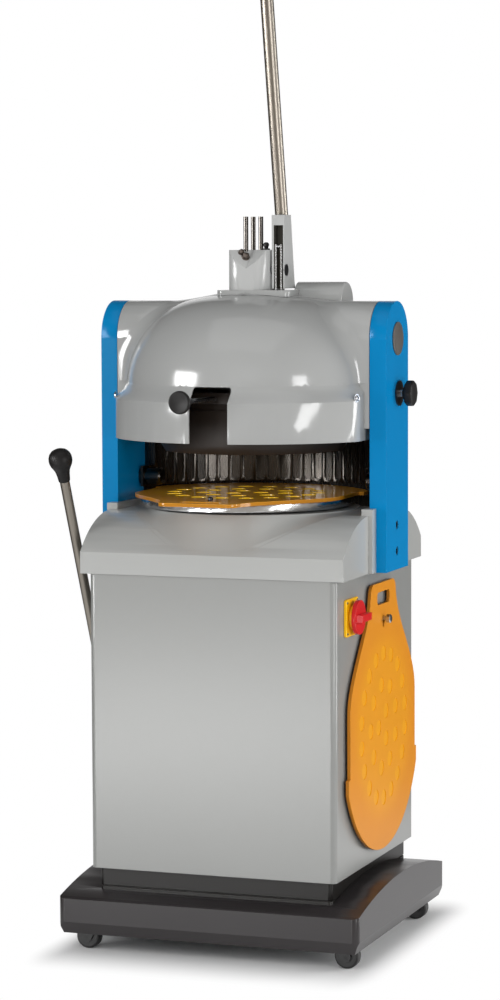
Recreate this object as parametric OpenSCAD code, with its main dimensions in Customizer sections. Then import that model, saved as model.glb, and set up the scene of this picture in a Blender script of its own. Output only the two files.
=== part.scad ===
// Divider rounder for a bakery: a wheeled cabinet with an orbiting table under a tilting press head.
// Millimetres, +Z up. The origin is on the floor, under the press axis; the operator stands at -Y.

/* [Table and plate] */
// Radius of the orbiting table disc
table_r = 217.5; // [180:0.5:260]
// Thickness of the table disc
table_t = 17; // [10:1:30]
// Throw of the orbit, also the offset at which the table is parked
orbit = 19; // [8:0.5:30]
// Radius of the rounding plate's rear edge
plate_r = 255; // [246:1:290]
// Half width of the rounding plate beside its shoulders
plate_side = 221; // [190:1:226]
// Distance of the shoulders behind the plate's centre
plate_shoulder = 77; // [40:1:100]
// Distance from the plate's centre to the end of its handle
plate_reach = 297; // [285:1:340]
// Half width of the handle
handle_half_w = 84; // [60:1:100]
// Thickness of the rounding plate
plate_t = 7; // [4:0.5:10]
// Half width of the rounding plate's two wings behind the shoulders
plate_wing = 231; // [228:1:240]
// Distance from the plate's centre to the middle of its hang slot
hang_slot_reach = 215; // [205:1:222]
// Length of the hang slot
hang_slot_len = 24; // [18:1:28]
// Distance from the table's centre to its locating pin
pin_reach = 208; // [206:0.5:210]
// Radius of the locating pin and of the wall hook
pin_r = 5; // [4:0.5:7]
// Width of the grip slot in the handle
grip_slot_w = 84; // [60:1:110]
// Height of the grip slot in the handle
grip_slot_h = 26; // [18:1:32]
// Radius of one dough recess
recess_r = 16; // [8:0.5:18]
// Depth of one dough recess
recess_depth = 1.5; // [0.5:0.25:3]

/* [Guard and cheeks] */
// Gap in plan between the orbiting plate's wings and the guard
plate_clear = 14; // [8:0.5:20]
// Thickness of the rear guard
guard_t = 5; // [4:0.5:8]
// Height of the guard
guard_h = 112; // [80:1:116]
// Width of one flute of the guard
flute_w = 18; // [10:0.5:22]
// Distance from one flute to the next
flute_pitch = 26; // [24:0.5:36]
// Gap between the guard and the cheeks
guard_side_gap = 4.6; // [3:0.2:12]
// Thickness of one cheek
cheek_t = 35; // [24:1:50]
// Depth of one cheek, and twice the radius of its round top
cheek_d = 152; // [120:2:180]
// Radius of the trunnion journals
trunnion_r = 20; // [14:0.5:26]

/* [Cabinet and cover] */
// Height of the cabinet
cabinet_h = 602; // [500:2:700]
// Wall of the cabinet
cabinet_wall = 2; // [1.5:0.5:4]
// Radius of the cabinet's upright corners
cabinet_corner_r = 12; // [6:1:24]
// How far the table cover overhangs the cabinet at the sides
cover_side_over = 17.2; // [8:0.2:26]
// How far the table cover overhangs the cabinet at front and back
cover_front_over = 4; // [2:0.5:12]
// How deep the cheeks are let into the cover's sides
cheek_sink = 5.9; // [4:0.1:10]
// Height of the cover's upright lip
cover_lip_h = 44; // [30:1:60]
// Height of the cover's flat top above the cabinet
cover_rise = 117; // [100:1:140]
// Radius of the cover's front and back rounding
cover_arch_r = 220; // [180:2:260]
// Wall of the table cover
cover_wall = 3; // [2:0.5:5]
// Top radius of the collar under the table
collar_top_r = 218; // [200:1:224]
// Foot radius of the collar under the table
collar_foot_r = 252; // [240:1:256]
// Height of the collar above the cover's flat top
collar_rise = 5; // [2:0.5:9]

/* [Base and castors] */
// How far the base stands out beyond the cabinet at the sides
base_side_margin = 57.7; // [40:0.1:90]
// How far the base stands out beyond the cabinet at front and back
base_front_margin = 40; // [25:1:80]
// Gap between the floor and the base cover
base_clear = 41; // [30:1:52]
// Height of the base cover at its front and back edge
base_end_h = 113; // [104:1:120]
// Height of the base cover's crown
base_crown_h = 151; // [130:1:160]
// How far the base cover's lower edge is drawn in
base_tuck = 9; // [0:0.5:14]
// Height over which the lower edge is drawn in
base_tuck_h = 24; // [10:1:40]
// Wall of the base cover
base_wall = 5; // [3:0.5:8]
// Radius of the base cover's corners
base_corner_r = 14; // [8:1:40]
// Height of the riser's seam above the floor
riser_seam_z = 133; // [110:1:150]
// Height of the riser's top, which carries the cabinet
riser_top_z = 172; // [160:1:200]
// How far the riser stands back from the cabinet's walls
riser_back = 14; // [8:0.5:24]
// Diameter of one castor wheel
wheel_d = 50; // [40:1:56]
// Width of one castor wheel
wheel_w = 24; // [16:1:30]
// Trail of one castor
castor_trail = 16; // [10:1:22]
// Distance of the castors from the base's sides
castor_in_x = 58; // [52:1:90]
// Distance of the castors from the base's front and back
castor_in_y = 66; // [56:1:100]

/* [Press head] */
// Travel of the press
press_stroke = 80; // [60:1:100]
// Gap left between the pressed-down ring and the plate
press_left = 10; // [4:0.5:20]
// Outer radius of the pressure ring
ring_r = 195; // [170:1:210]
// Wall of the pressure ring
ring_wall = 12; // [8:1:18]
// Height of the pressure ring
ring_h = 102; // [96:1:106]
// Height of the hood's lower edge above the ring's lower edge
hood_lift = 27; // [15:1:40]
// Height of the trunnions above the ring's lower edge
trunnion_lift = 230; // [226:1:240]
// Gap between the hood's sides and the cheeks
hood_side_gap = 11.6; // [8:0.2:20]
// Plan radius of the hood's skirt
hood_r = 297; // [288:1:320]
// How far the hood's axis lies behind the press axis
hood_back = 23; // [10:1:30]
// Radius of the upright round between the skirt's front and sides
hood_corner_r = 70; // [30:1:90]
// Height of the skirt up to the band
skirt_h = 81; // [60:1:90]
// Height of the band that steps from skirt to dome
band_h = 31; // [20:1:40]
// Step of the band
band_step = 27; // [16:1:34]
// Radius of the dome's shoulder
dome_side_r = 174; // [150:1:185]
// Radius of the dome's crown
dome_top_r = 620; // [520:5:760]
// Wall of the hood
hood_wall = 4; // [3:0.5:6]
// Radius of the head's tail about the trunnions
tail_r = 302; // [296:1:304]
// Width of the slot for the locking handle
slot_w = 82; // [70:1:110]
// Radius of the fairing round the trunnions
fairing_r = 76; // [60:1:80]
// Height of the fairing's lower end above the hood's lower edge
fairing_lift = 24; // [20:1:60]

/* [Press lever] */
// Radius of one guide rod
rod_r = 5; // [4:0.25:6]
// Radius of the circle on which the guide rods stand
rod_circle_r = 17.7; // [15:0.1:20]
// How far the guide rods stand out of the guide block
rod_out = 68; // [50:1:90]
// Width of the guide block
block_w = 92; // [84:1:100]
// Height of the guide block
block_h = 82; // [70:1:95]
// Radius of the chrome lever bar
bar_r = 13.5; // [10:0.5:15]
// Length of the chrome lever bar
bar_len = 550; // [300:5:700]
// Forward lean of the lever bar
bar_lean = 11.2; // [5:0.1:20]
// Radius of the lever's grip
grip_r = 17; // [15:0.5:22]
// Length of the lever's grip
grip_len = 122; // [90:1:160]
// Height of the lever's casting
arm_h = 150; // [130:1:170]

/* [Side fittings] */
// Side of the main switch's square plate
switch_side = 75; // [60:1:90]
// Radius of the main switch's handle
switch_r = 34.5; // [25:0.5:36]
// Forward lean of the rounding lever
side_lever_lean = 24; // [15:1:30]
// Length of the rounding lever from its pivot
side_lever_len = 454; // [380:2:480]
// Radius of the rounding lever's rod
side_rod_r = 10; // [8:0.5:12]
// Radius of the rounding lever's knob
side_knob_r = 24; // [20:1:30]
// Radius of the locking handle's knob
lock_knob_r = 23; // [18:1:28]

/* [Hidden] */
$fn = 64;
fine = 360;
seat = 0.3;
run = 0.05;
fit = 0.02;
eps = 1;

// Plan of the machine, worked outwards from the rounding plate
guard_in_r = plate_wing + orbit + plate_clear;
guard_out_r = guard_in_r + guard_t;
cheek_x = guard_out_r + guard_side_gap;
cheek_out_x = cheek_x + cheek_t;
cover_hw = cheek_x + cheek_sink;
cover_hd = guard_out_r - 3;
cabinet_hw = cover_hw - cover_side_over;
cabinet_hd = cover_hd - cover_front_over;
base_hw = cabinet_hw + base_side_margin;
base_hd = cabinet_hd + base_front_margin;
riser_hw = cabinet_hw - riser_back;
riser_hd = cabinet_hd - riser_back;
hood_hw = cheek_x - hood_side_gap;

// Heights of the machine, worked upwards from the floor
tray_t = 12;
tray_z = wheel_d + 12;
tray_top = tray_z + tray_t;
cabinet_top = riser_top_z + cabinet_h;
cover_top = cabinet_top + cover_rise;
collar_top = cover_top + collar_rise;
table_z = collar_top + 4;
plate_z = table_z + table_t;
plate_top = plate_z + plate_t;
ring_z = plate_top + press_left + press_stroke;
ring_top = ring_z + ring_h;
hood_z = ring_z + hood_lift;
band_z = hood_z + skirt_h;
dome_z = band_z + band_h;
dome_r = hood_r - band_step;
band_flare = 0.72;
corner_lap = 0.2;
trunnion_z = ring_z + trunnion_lift;

// The dome's crown arc meets its shoulder arc without a kink
crown_z = dome_z - sqrt(pow(dome_top_r - dome_side_r, 2) - pow(dome_r - dome_side_r, 2));
dome_top = crown_z + dome_top_r;

// Base
arch_rise = base_crown_h - base_end_h;
base_arch_r = (base_hd * base_hd + arch_rise * arch_rise) / (2 * arch_rise);
castor_x = base_hw - castor_in_x;
castor_y = base_hd - castor_in_y;
axle_r = 4;
fork_t = 4;
fork_gap = 0.6;
stem_r = 9;

// Cover
cover_arc_y = cover_hd - sqrt(cover_arch_r * cover_arch_r - pow(cover_arch_r - cover_rise + cover_lip_h, 2));
collar_foot_z = cabinet_top + cover_lip_h + 6;
hub_r = 60;
collar_hole_r = hub_r + orbit + 11;
shoe_in = 9;
shoe_out = 8;
shoe_d = 26;
shoe_rise = 13;

// Frame deck and cheek posts
deck_t = 12;
post_t = 13;
post_d = 136;
bolt_r = 6;
bolt_head_r = 9;
bolt_head_h = 12;
bolt_z = [38, 91];
stub_r = 18;
stub_len = 47;
stub_y = 56;
stub_z = plate_top + 7 + stub_r;

// Guard
guard_z = plate_top + 4;
guard_end_y = 78;
guard_from = asin(guard_end_y / guard_out_r);
ear_front_y = stub_y - stub_r - 4;
ear_top = stub_z + stub_r + 4;
flute_depth = 3;
flute_foot = guard_z + 5;
band_in_r = plate_r + orbit + 3;
band_t = 3;
band_end_y = 112;
band_drop = 24;
flute_turn = flute_pitch / guard_in_r * 180 / PI;
flute_count = floor((180 - 2 * guard_from) / flute_turn);

// Drive
crank_r = 20;
crank_flange_r = 62;
crank_flange_t = 16;
crank_pin_gap = 4;
housing_r = 60;
housing_drop = 44;
housing_top = table_z - 50;
pulley_r = 100;
pulley_h = 26;
pulley_z = cabinet_top - housing_drop - 30;
motor_y = 150;
motor_r = 62;
motor_h = 210;
motor_pulley_r = 30;
motor_shaft_r = 12;
motor_plate_t = 8;
motor_plate_z = pulley_z - 20;
belt_t = 5;
belt_in = 4;

// Press
ring_in_r = ring_r - ring_wall;
ring_taper = 11;
ring_foot_h = 18;
ring_neck_h = 13;
ring_lip_in_r = 128;
ring_lip_t = 12;
cell_rows = [3, 9, 18];
cell_r1 = ring_in_r / sqrt(10);
cell_edges = [0, cell_r1, 2 * cell_r1, ring_in_r];
knife_t = 2;
knife_z = ring_z + 2;
segment_gap = 1;
segment_z = ring_z + 16;
press_plate_z = ring_z + 46;
press_plate_t = 12;
column_r = 28;
cross_r = 150;
cross_t = 12;
cross_z = ring_top + 28;
ring_post_r = 8;
ring_post_at = 138;
lock_ring_z = ring_top + seat;
lock_ring_h = 22;
lock_ring_in_r = 154;
lock_ring_out_r = ring_r - 7;
lock_rod_r = 5;
lock_z = lock_ring_z + lock_ring_h / 2;
lock_turn = 4.5;
lock_reach = 330;
lock_knob_len = 30;
slot_top = dome_z;

// Head frame
hub_z = cross_z + cross_t + 2;
hub_hw = 46;
hub_front = 42;
hub_back = 42;
bracket_hw = 40;
bracket_drop = 56;
bracket_z = trunnion_z - bracket_drop;
bracket_h = 30;
bracket_reach = 224;
arm_r = 17;
side_wall_y = 60;

// Head top
flange_sink = 9;
flange_stand = 4.5;
flange_t = flange_sink + flange_stand;
flange_z = dome_top - flange_sink;
flange_top = flange_z + flange_t;
flange_left = 66;
flange_right = 92;
flange_front = 50;
flange_back = 61;
block_front = 45;
block_back = 62;
block_corner_r = 30;
scoop_drop = 38;
scoop_lean = 46;
scoop_flank = 0.46;
block_top = flange_top + block_h;
rod_top = block_top + rod_out;
rod_turns = [110, 230, 350];

// Press lever
pivot_y = -14;
pivot_z = flange_top + 41;
pivot_r = 10;
pivot_cap_r = 12;
arm_gap = 3;
arm_x = block_w / 2 + arm_gap;
arm_w = 27;
arm_wall = 4.5;
arm_front = 26;
arm_foot_back = 42;
arm_head_back = 16.5;
arm_z = flange_top + 3;
arm_top = arm_z + arm_h;
recess_back = 2;
arm_recess_top = arm_top - 21;
bar_y = -3;
bar_x = arm_x + arm_w / 2;
spigot_r = 7;
spigot_len = 16;
link_t = 3.5;
link_d = 5;
link_y = -24;
link_split = 8;
link_top = pivot_z + 52;

// Fairing
fairing_gap = 1;

// Spring housing on top of the fairing
spring_r = 42;
spring_x = arm_x + arm_w + 5;
spring_len = 104;
spring_y = 55;
spring_z = trunnion_z + 72;
spring_round = 5;
spring_wall = 4;

// Cheek lock
lock_pin_r = 8;
lock_pin_y = 10;
lock_pin_drop = 111;
lock_pin_z = trunnion_z - lock_pin_drop;
lock_pin_stroke = 7;
lock_hole_gap = 1;
lock_pin_hold = 12;
bush_r = 26;
bush_t = 3;
plunger_knob_r = 27;
plunger_knob_t = 23;
plunger_neck_r = 12;
plunger_neck_len = 6;

// Right-hand wall
wall_x = cabinet_hw;
switch_y = -172.5;
switch_drop = 79;
switch_z = cabinet_top - switch_drop;
switch_plate_t = 6;
switch_boss_r = 22;
switch_boss_t = 8;
switch_t = 9;
hook_y = 14;
hook_drop = 103;
hook_z = cabinet_top - hook_drop;
hook_spacer = 5.4;
hook_len = 29;
hook_head_r = 9;
hook_head_t = 9;
hang_slack = 1;
pin_foot = 5;

// Left-hand wall
side_pivot_y = -100;
side_pivot_drop = 226;
side_pivot_z = cabinet_top - side_pivot_drop;
side_boss_r = 30;
side_boss_t = 16;
side_hub_r = 20;
side_lever_out = 41.7;
side_lever_x = cabinet_hw + side_lever_out;
side_knob_len = 70;
side_knob_hold = 18;

// A rectangle with round corners, centred on the origin
module rounded_rect(half_w, half_d, r) {
    square([2 * (half_w - r), 2 * half_d], center = true);
    square([2 * half_w, 2 * (half_d - r)], center = true);
    for (sx = [-1, 1], sy = [-1, 1])
        translate([sx * (half_w - r), sy * (half_d - r)]) circle(r);
}

// A straight-sided block between two corners
module block(low, high) {
    translate(low) cube(high - low);
}

// A round bar along X between two places
module bar_along_x(r, from, to) {
    translate([from, 0, 0]) rotate([0, 90, 0]) cylinder(r = r, h = to - from);
}

// A profile drawn in Y and Z, drawn out along X between two places
module profile_along_x(from, to) {
    translate([from, 0, 0]) rotate([90, 0, 90]) linear_extrude(to - from) children();
}

// A flat ring standing on the XY plane
module ring(out_r, in_r, h) {
    difference() {
        cylinder(r = out_r, h = h);
        translate([0, 0, -eps]) cylinder(r = in_r, h = h + 2 * eps);
    }
}

// The base's upright outline across its width or depth, with its lower edges drawn in
module base_sides(half, inset) {
    low = inset == 0 ? base_clear : base_clear - eps;
    polygon([[-half + base_tuck + inset, low], [half - base_tuck - inset, low],
             [half - inset, base_clear + base_tuck_h], [half - inset, base_crown_h + eps],
             [-half + inset, base_crown_h + eps], [-half + inset, base_clear + base_tuck_h]]);
}

// The solid under the base cover's arched skin, drawn in by a distance
module base_form(inset) {
    intersection() {
        translate([0, 0, base_clear - eps])
            linear_extrude(base_crown_h)
                rounded_rect(base_hw - inset, base_hd - inset, base_corner_r - inset);
        profile_along_x(-base_hw - eps, base_hw + eps) base_sides(base_hd, inset);
        rotate([0, 0, 90]) profile_along_x(-base_hd - eps, base_hd + eps) base_sides(base_hw, inset);
        translate([0, 0, base_crown_h - base_arch_r])
            rotate([0, 90, 0])
                cylinder(r = base_arch_r - inset, h = 2 * base_hw + 2 * eps, center = true, $fn = fine);
    }
}

module base_cover() {
    color("#26262a")
    difference() {
        base_form(0);
        base_form(base_wall);
        linear_extrude(base_crown_h + eps) rounded_rect(riser_hw + seat, riser_hd + seat, 8);
    }
}

module base_frame() {
    color("#3c3c40")
    difference() {
        translate([0, 0, tray_z])
            linear_extrude(tray_t) rounded_rect(base_hw - 16, base_hd - 16, 10);
        for (sx = [-1, 1], sy = [-1, 1])
            translate([sx * castor_x, sy * castor_y, tray_z - eps]) cylinder(r = stem_r + run, h = tray_t + 2 * eps);
        translate([0, 0, tray_z - eps])
            linear_extrude(tray_t + 2 * eps) rounded_rect(riser_hw - 60, riser_hd - 60, 20);
    }
}

module riser() {
    seam = 2;
    wall = 26;
    color("#1c1c1f")
    difference() {
        translate([0, 0, tray_top])
            linear_extrude(riser_top_z - tray_top) rounded_rect(riser_hw, riser_hd, 8);
        translate([0, 0, tray_top - eps])
            linear_extrude(riser_top_z - tray_top + 2 * eps) rounded_rect(riser_hw - wall, riser_hd - wall, 4);
        translate([0, 0, riser_seam_z])
            linear_extrude(seam) difference() {
                rounded_rect(riser_hw + eps, riser_hd + eps, 8);
                rounded_rect(riser_hw - seam, riser_hd - seam, 8 - seam);
            }
    }
}

// The window in the cabinet's back that the rear panel closes
panel_hw = 210;
panel_low = 70;
panel_top_drop = 72;
panel_high = cabinet_h - panel_top_drop;
panel_lap = 12;
panel_t = 2;

module cabinet() {
    flange = 40;
    flange_in_r = 4;
    color("#aeb1b2")
    difference() {
        translate([0, 0, riser_top_z])
            linear_extrude(cabinet_h) rounded_rect(cabinet_hw, cabinet_hd, cabinet_corner_r);
        translate([0, 0, riser_top_z + cabinet_wall])
            linear_extrude(cabinet_h - 2 * cabinet_wall)
                rounded_rect(cabinet_hw - cabinet_wall, cabinet_hd - cabinet_wall, cabinet_corner_r - cabinet_wall);
        translate([0, 0, riser_top_z - eps])
            linear_extrude(cabinet_h + 2 * eps)
                rounded_rect(cabinet_hw - flange, cabinet_hd - flange, flange_in_r);
        block([-panel_hw + panel_lap, cabinet_hd - cabinet_wall - eps, riser_top_z + panel_low + panel_lap],
              [panel_hw - panel_lap, cabinet_hd + eps, riser_top_z + panel_high - panel_lap]);
        translate([0, side_pivot_y, side_pivot_z])
            bar_along_x(side_hub_r - 6, -cabinet_hw - eps, -cabinet_hw + cabinet_wall + eps);
    }
}

module rear_panel() {
    louvre_w = 150;
    louvre_h = 7;
    louvre_pitch = 18;
    louvre_rows = 6;
    color("#a6a9aa")
    difference() {
        block([-panel_hw, cabinet_hd, riser_top_z + panel_low],
              [panel_hw, cabinet_hd + panel_t, riser_top_z + panel_high]);
        for (row = [0 : louvre_rows - 1], side = [-1, 1])
            translate([side * (louvre_w / 2 + 15), cabinet_hd, riser_top_z + panel_low + 50 + row * louvre_pitch])
                cube([louvre_w, 4 * panel_t, louvre_h], center = true);
    }
}

module motor_place() {
    translate([0, motor_y, 0]) children();
}

module machine_frame() {
    hanger_t = 8;
    hanger_hw = pulley_r + belt_t + 7;
    color("#6c6f72")
    difference() {
        union() {
            translate([0, 0, cabinet_top])
                linear_extrude(deck_t) rounded_rect(cabinet_hw - 0.4, cabinet_hd - 0.4, cabinet_corner_r);
            for (side = [-1, 1])
                mirror([side < 0 ? 1 : 0, 0, 0])
                    block([cheek_x - post_t, -post_d / 2, cabinet_top],
                          [cheek_x, post_d / 2, cover_top - cover_wall - 1]);
            motor_place() {
                translate([0, 0, motor_plate_z + motor_plate_t / 2])
                    cube([2 * hanger_hw, 2 * motor_r, motor_plate_t], center = true);
                for (side = [-1, 1])
                    translate([side * (hanger_hw - hanger_t / 2), 0, (motor_plate_z + cabinet_top) / 2])
                        cube([hanger_t, 2 * motor_r, cabinet_top - motor_plate_z], center = true);
            }
        }
        translate([0, 0, cabinet_top - eps]) cylinder(r = housing_r + fit, h = deck_t + 2 * eps);
        motor_place()
            translate([0, 0, motor_plate_z - eps])
                cylinder(r = motor_shaft_r + seat, h = motor_plate_t + 2 * eps);
        for (side = [-1, 1], z = bolt_z)
            mirror([side < 0 ? 1 : 0, 0, 0])
                translate([0, 0, cabinet_top + z]) bar_along_x(bolt_r + fit, cheek_x - post_t - eps, cheek_x + eps);
    }
}

// The cover's side view: a flat top that rounds down to an upright lip at front and back
module cover_profile(inset) {
    low = inset == 0 ? cabinet_top : cabinet_top + inset;
    r = cover_arch_r - inset;
    top = cover_top - inset;
    half_d = cover_hd - inset;
    intersection() {
        translate([-half_d, low]) square([2 * half_d, top - low]);
        union() {
            for (side = [-1, 1]) translate([side * cover_arc_y, top - r]) circle(r, $fn = fine);
            translate([-cover_arc_y, low]) square([2 * cover_arc_y, top - low]);
        }
    }
}

module table_cover() {
    shoe_z = cover_top + shoe_rise;
    collar_h = collar_top - collar_foot_z;
    color("#b0b3b4")
    difference() {
        union() {
            profile_along_x(-cover_hw, cover_hw) cover_profile(0);
            translate([0, 0, collar_foot_z])
                cylinder(r1 = collar_foot_r, r2 = collar_top_r, h = collar_h, $fn = fine);
            for (side = [-1, 1])
                mirror([side < 0 ? 1 : 0, 0, 0])
                    block([cheek_x - shoe_in, -cheek_d / 2 - shoe_d, cabinet_top],
                          [cover_hw + shoe_out, cheek_d / 2 + shoe_d, shoe_z]);
        }
        profile_along_x(-cover_hw + cover_wall, cover_hw - cover_wall) cover_profile(cover_wall);
        translate([0, 0, collar_foot_z])
            cylinder(r1 = collar_foot_r - cover_wall, r2 = collar_top_r - cover_wall,
                     h = collar_h - cover_wall, $fn = fine);
        translate([0, 0, collar_top - 2 * cover_wall]) cylinder(r = collar_hole_r, h = 4 * cover_wall);
        translate([0, 0, cabinet_top - eps])
            linear_extrude(cover_wall + 2 * eps)
                rounded_rect(cabinet_hw + seat, cabinet_hd + seat, cabinet_corner_r);
        for (side = [-1, 1])
            mirror([side < 0 ? 1 : 0, 0, 0]) {
                block([cheek_x - seat, -cheek_d / 2 - seat, cabinet_top - eps],
                      [cheek_out_x, cheek_d / 2 + seat, shoe_z + eps]);
                block([cheek_x - post_t - 2, -post_d / 2 - 2, cabinet_top - eps],
                      [cheek_x, post_d / 2 + 2, cover_top - cover_wall]);
            }
    }
}

module cheek_blank() {
    profile_along_x(cheek_x, cheek_out_x) {
        translate([-cheek_d / 2, cabinet_top]) square([cheek_d, trunnion_z - cabinet_top]);
        translate([0, trunnion_z]) circle(cheek_d / 2, $fn = fine);
    }
}

module cheek_bores() {
    translate([0, 0, trunnion_z]) bar_along_x(trunnion_r + run, cheek_x - eps, cheek_out_x + eps);
    for (z = bolt_z)
        translate([0, 0, cabinet_top + z]) {
            bar_along_x(bolt_r + fit, cheek_x - eps, cheek_out_x + eps);
            bar_along_x(bolt_head_r + seat, cheek_out_x - bolt_head_h, cheek_out_x + eps);
        }
}

module left_cheek() {
    color("#0a84c6")
    mirror([1, 0, 0])
    difference() {
        cheek_blank();
        cheek_bores();
    }
}

module right_cheek() {
    color("#0a84c6")
    difference() {
        cheek_blank();
        cheek_bores();
        translate([0, lock_pin_y, lock_pin_z]) bar_along_x(lock_pin_r + run, cheek_x - eps, cheek_out_x + eps);
    }
}

module cheek_bolts() {
    socket_r = 5;
    socket_depth = 6;
    head_seat = cheek_out_x - bolt_head_h;
    color("#3a3c40")
    for (side = [-1, 1], z = bolt_z)
        mirror([side < 0 ? 1 : 0, 0, 0])
            translate([0, 0, cabinet_top + z])
                difference() {
                    union() {
                        bar_along_x(bolt_r, cheek_x - post_t, head_seat + eps);
                        bar_along_x(bolt_head_r, head_seat, cheek_out_x - 2);
                    }
                    translate([cheek_out_x - 2 - socket_depth, 0, 0]) rotate([0, 90, 0])
                        cylinder(r = socket_r, h = socket_depth + eps, $fn = 6);
                }
}

// The part of a ring that lies behind a line across the machine
module guard_band(in_r, out_r, front_y, low, high) {
    intersection() {
        translate([0, 0, low])
            difference() {
                cylinder(r = out_r, h = high - low, $fn = fine);
                translate([0, 0, -eps]) cylinder(r = in_r, h = high - low + 2 * eps, $fn = fine);
            }
        block([-2 * out_r, front_y, low - eps], [2 * out_r, 2 * out_r, high + eps]);
    }
}

module rear_guard() {
    top = guard_z + guard_h;
    color("#55575a")
    difference() {
        union() {
            guard_band(guard_in_r, guard_out_r, guard_end_y, guard_z, top);
            guard_band(guard_in_r, guard_out_r, ear_front_y, guard_z, ear_top);
            guard_band(guard_in_r, band_in_r + band_t, band_end_y, guard_z, guard_z + band_t);
            guard_band(band_in_r, band_in_r + band_t, band_end_y, guard_z - band_drop, guard_z + band_t);
        }
        for (i = [0 : flute_count - 1])
            rotate([0, 0, 90 + (i - (flute_count - 1) / 2) * flute_turn]) {
                block([guard_in_r - 5, -flute_w / 2, flute_foot + flute_w / 2],
                      [guard_in_r + flute_depth, flute_w / 2, top + eps]);
                translate([0, 0, flute_foot + flute_w / 2])
                    bar_along_x(flute_w / 2, guard_in_r - 5, guard_in_r + flute_depth);
            }
        translate([0, stub_y, stub_z]) bar_along_x(stub_r + fit, -guard_out_r, guard_out_r);
    }
}

module guard_stubs() {
    chamfer = 3;
    color("#b9bcbf")
    for (side = [-1, 1])
        mirror([side < 0 ? 1 : 0, 0, 0])
            translate([cheek_x - stub_len, stub_y, stub_z]) rotate([0, 90, 0]) {
                cylinder(r1 = stub_r - chamfer, r2 = stub_r, h = chamfer);
                translate([0, 0, chamfer]) cylinder(r = stub_r, h = stub_len - chamfer);
            }
}

module crank_housing() {
    top_flange_r = housing_r + 22;
    color("#6c6f72")
    difference() {
        union() {
            translate([0, 0, cabinet_top - housing_drop]) cylinder(r = housing_r, h = housing_drop + deck_t);
            translate([0, 0, cabinet_top + deck_t]) cylinder(r = top_flange_r, h = 10);
            translate([0, 0, cabinet_top + deck_t])
                cylinder(r = housing_r - 12, h = housing_top - cabinet_top - deck_t);
        }
        translate([0, 0, cabinet_top - housing_drop - eps])
            cylinder(r = crank_r + run, h = housing_top - cabinet_top + housing_drop + 2 * eps);
    }
}

module drive_motor() {
    fin_count = 20;
    fin_t = 3;
    fin_out = 6;
    color("#7d8288")
    motor_place() {
        translate([0, 0, motor_plate_z - motor_h]) {
            cylinder(r = motor_r - fin_out, h = motor_h);
            cylinder(r = motor_r, h = 30);
            translate([0, 0, motor_h - 16]) cylinder(r = motor_r, h = 16);
            for (i = [0 : fin_count - 1])
                rotate([0, 0, i * 360 / fin_count])
                    translate([0, -fin_t / 2, 30]) cube([motor_r - 1, fin_t, motor_h - 46]);
        }
    }
}

// The belt's outline: two rounds joined by their outer tangents
module belt_outline(grow) {
    big = pulley_r + grow;
    small = motor_pulley_r + grow;
    lean = asin((big - small) / motor_y);
    circle(big, $fn = fine);
    translate([0, motor_y]) circle(small);
    polygon([[big * cos(lean), big * sin(lean)], [small * cos(lean), motor_y + small * sin(lean)],
             [-small * cos(lean), motor_y + small * sin(lean)], [-big * cos(lean), big * sin(lean)]]);
}

module drive_belt() {
    color("#1b1b1d")
    translate([0, 0, pulley_z + belt_in])
        linear_extrude(pulley_h - 2 * belt_in) difference() {
            belt_outline(seat + belt_t);
            belt_outline(seat);
        }
}

module switch_place() {
    translate([wall_x, switch_y, switch_z]) children();
}

module switch_plate() {
    hole_r = 4;
    color("#f2b705")
    switch_place() {
        difference() {
            profile_along_x(0, switch_plate_t) rounded_rect(switch_side / 2, switch_side / 2, 5);
            bar_along_x(hole_r, -eps, switch_plate_t + eps);
        }
        difference() {
            bar_along_x(switch_boss_r, switch_plate_t, switch_plate_t + switch_boss_t);
            bar_along_x(hole_r, -eps, switch_plate_t + switch_boss_t + eps);
        }
    }
}

module switch_handle() {
    stem_r = 4 - run;
    face = switch_plate_t + switch_boss_t + seat;
    grip_t = 15;
    grip_out = 14;
    grip_short = 5;
    color("#c4161c")
    switch_place() {
        bar_along_x(stem_r, 1, face + 1);
        bar_along_x(switch_r, face, face + switch_t);
        block([face + switch_t - 1, -switch_r + grip_short, -grip_t / 2],
              [face + switch_t + grip_out, switch_r - grip_short, grip_t / 2]);
    }
}

module plate_hook() {
    color("#c4c6c8")
    translate([wall_x, hook_y, hook_z]) {
        bar_along_x(14, 0, hook_spacer);
        bar_along_x(pin_r, hook_spacer, hook_len);
        translate([hook_len - hook_head_t - 2, 0, 0]) rotate([0, 90, 0]) cylinder(r1 = pin_r, r2 = hook_head_r, h = 2);
        bar_along_x(hook_head_r, hook_len - hook_head_t, hook_len - 2);
        translate([hook_len - 2, 0, 0]) rotate([0, 90, 0]) cylinder(r1 = hook_head_r, r2 = hook_head_r - 2, h = 2);
    }
}

// Half width of the plate at a distance in front of its centre: a smooth neck between body and handle
neck_from = 50;
neck_to = plate_reach - 12;
function neck_w(v) =
    let (t = (neck_to - v) / (neck_to - neck_from))
    handle_half_w + (plate_side - handle_half_w) * t * t * (3 - 2 * t);

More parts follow.
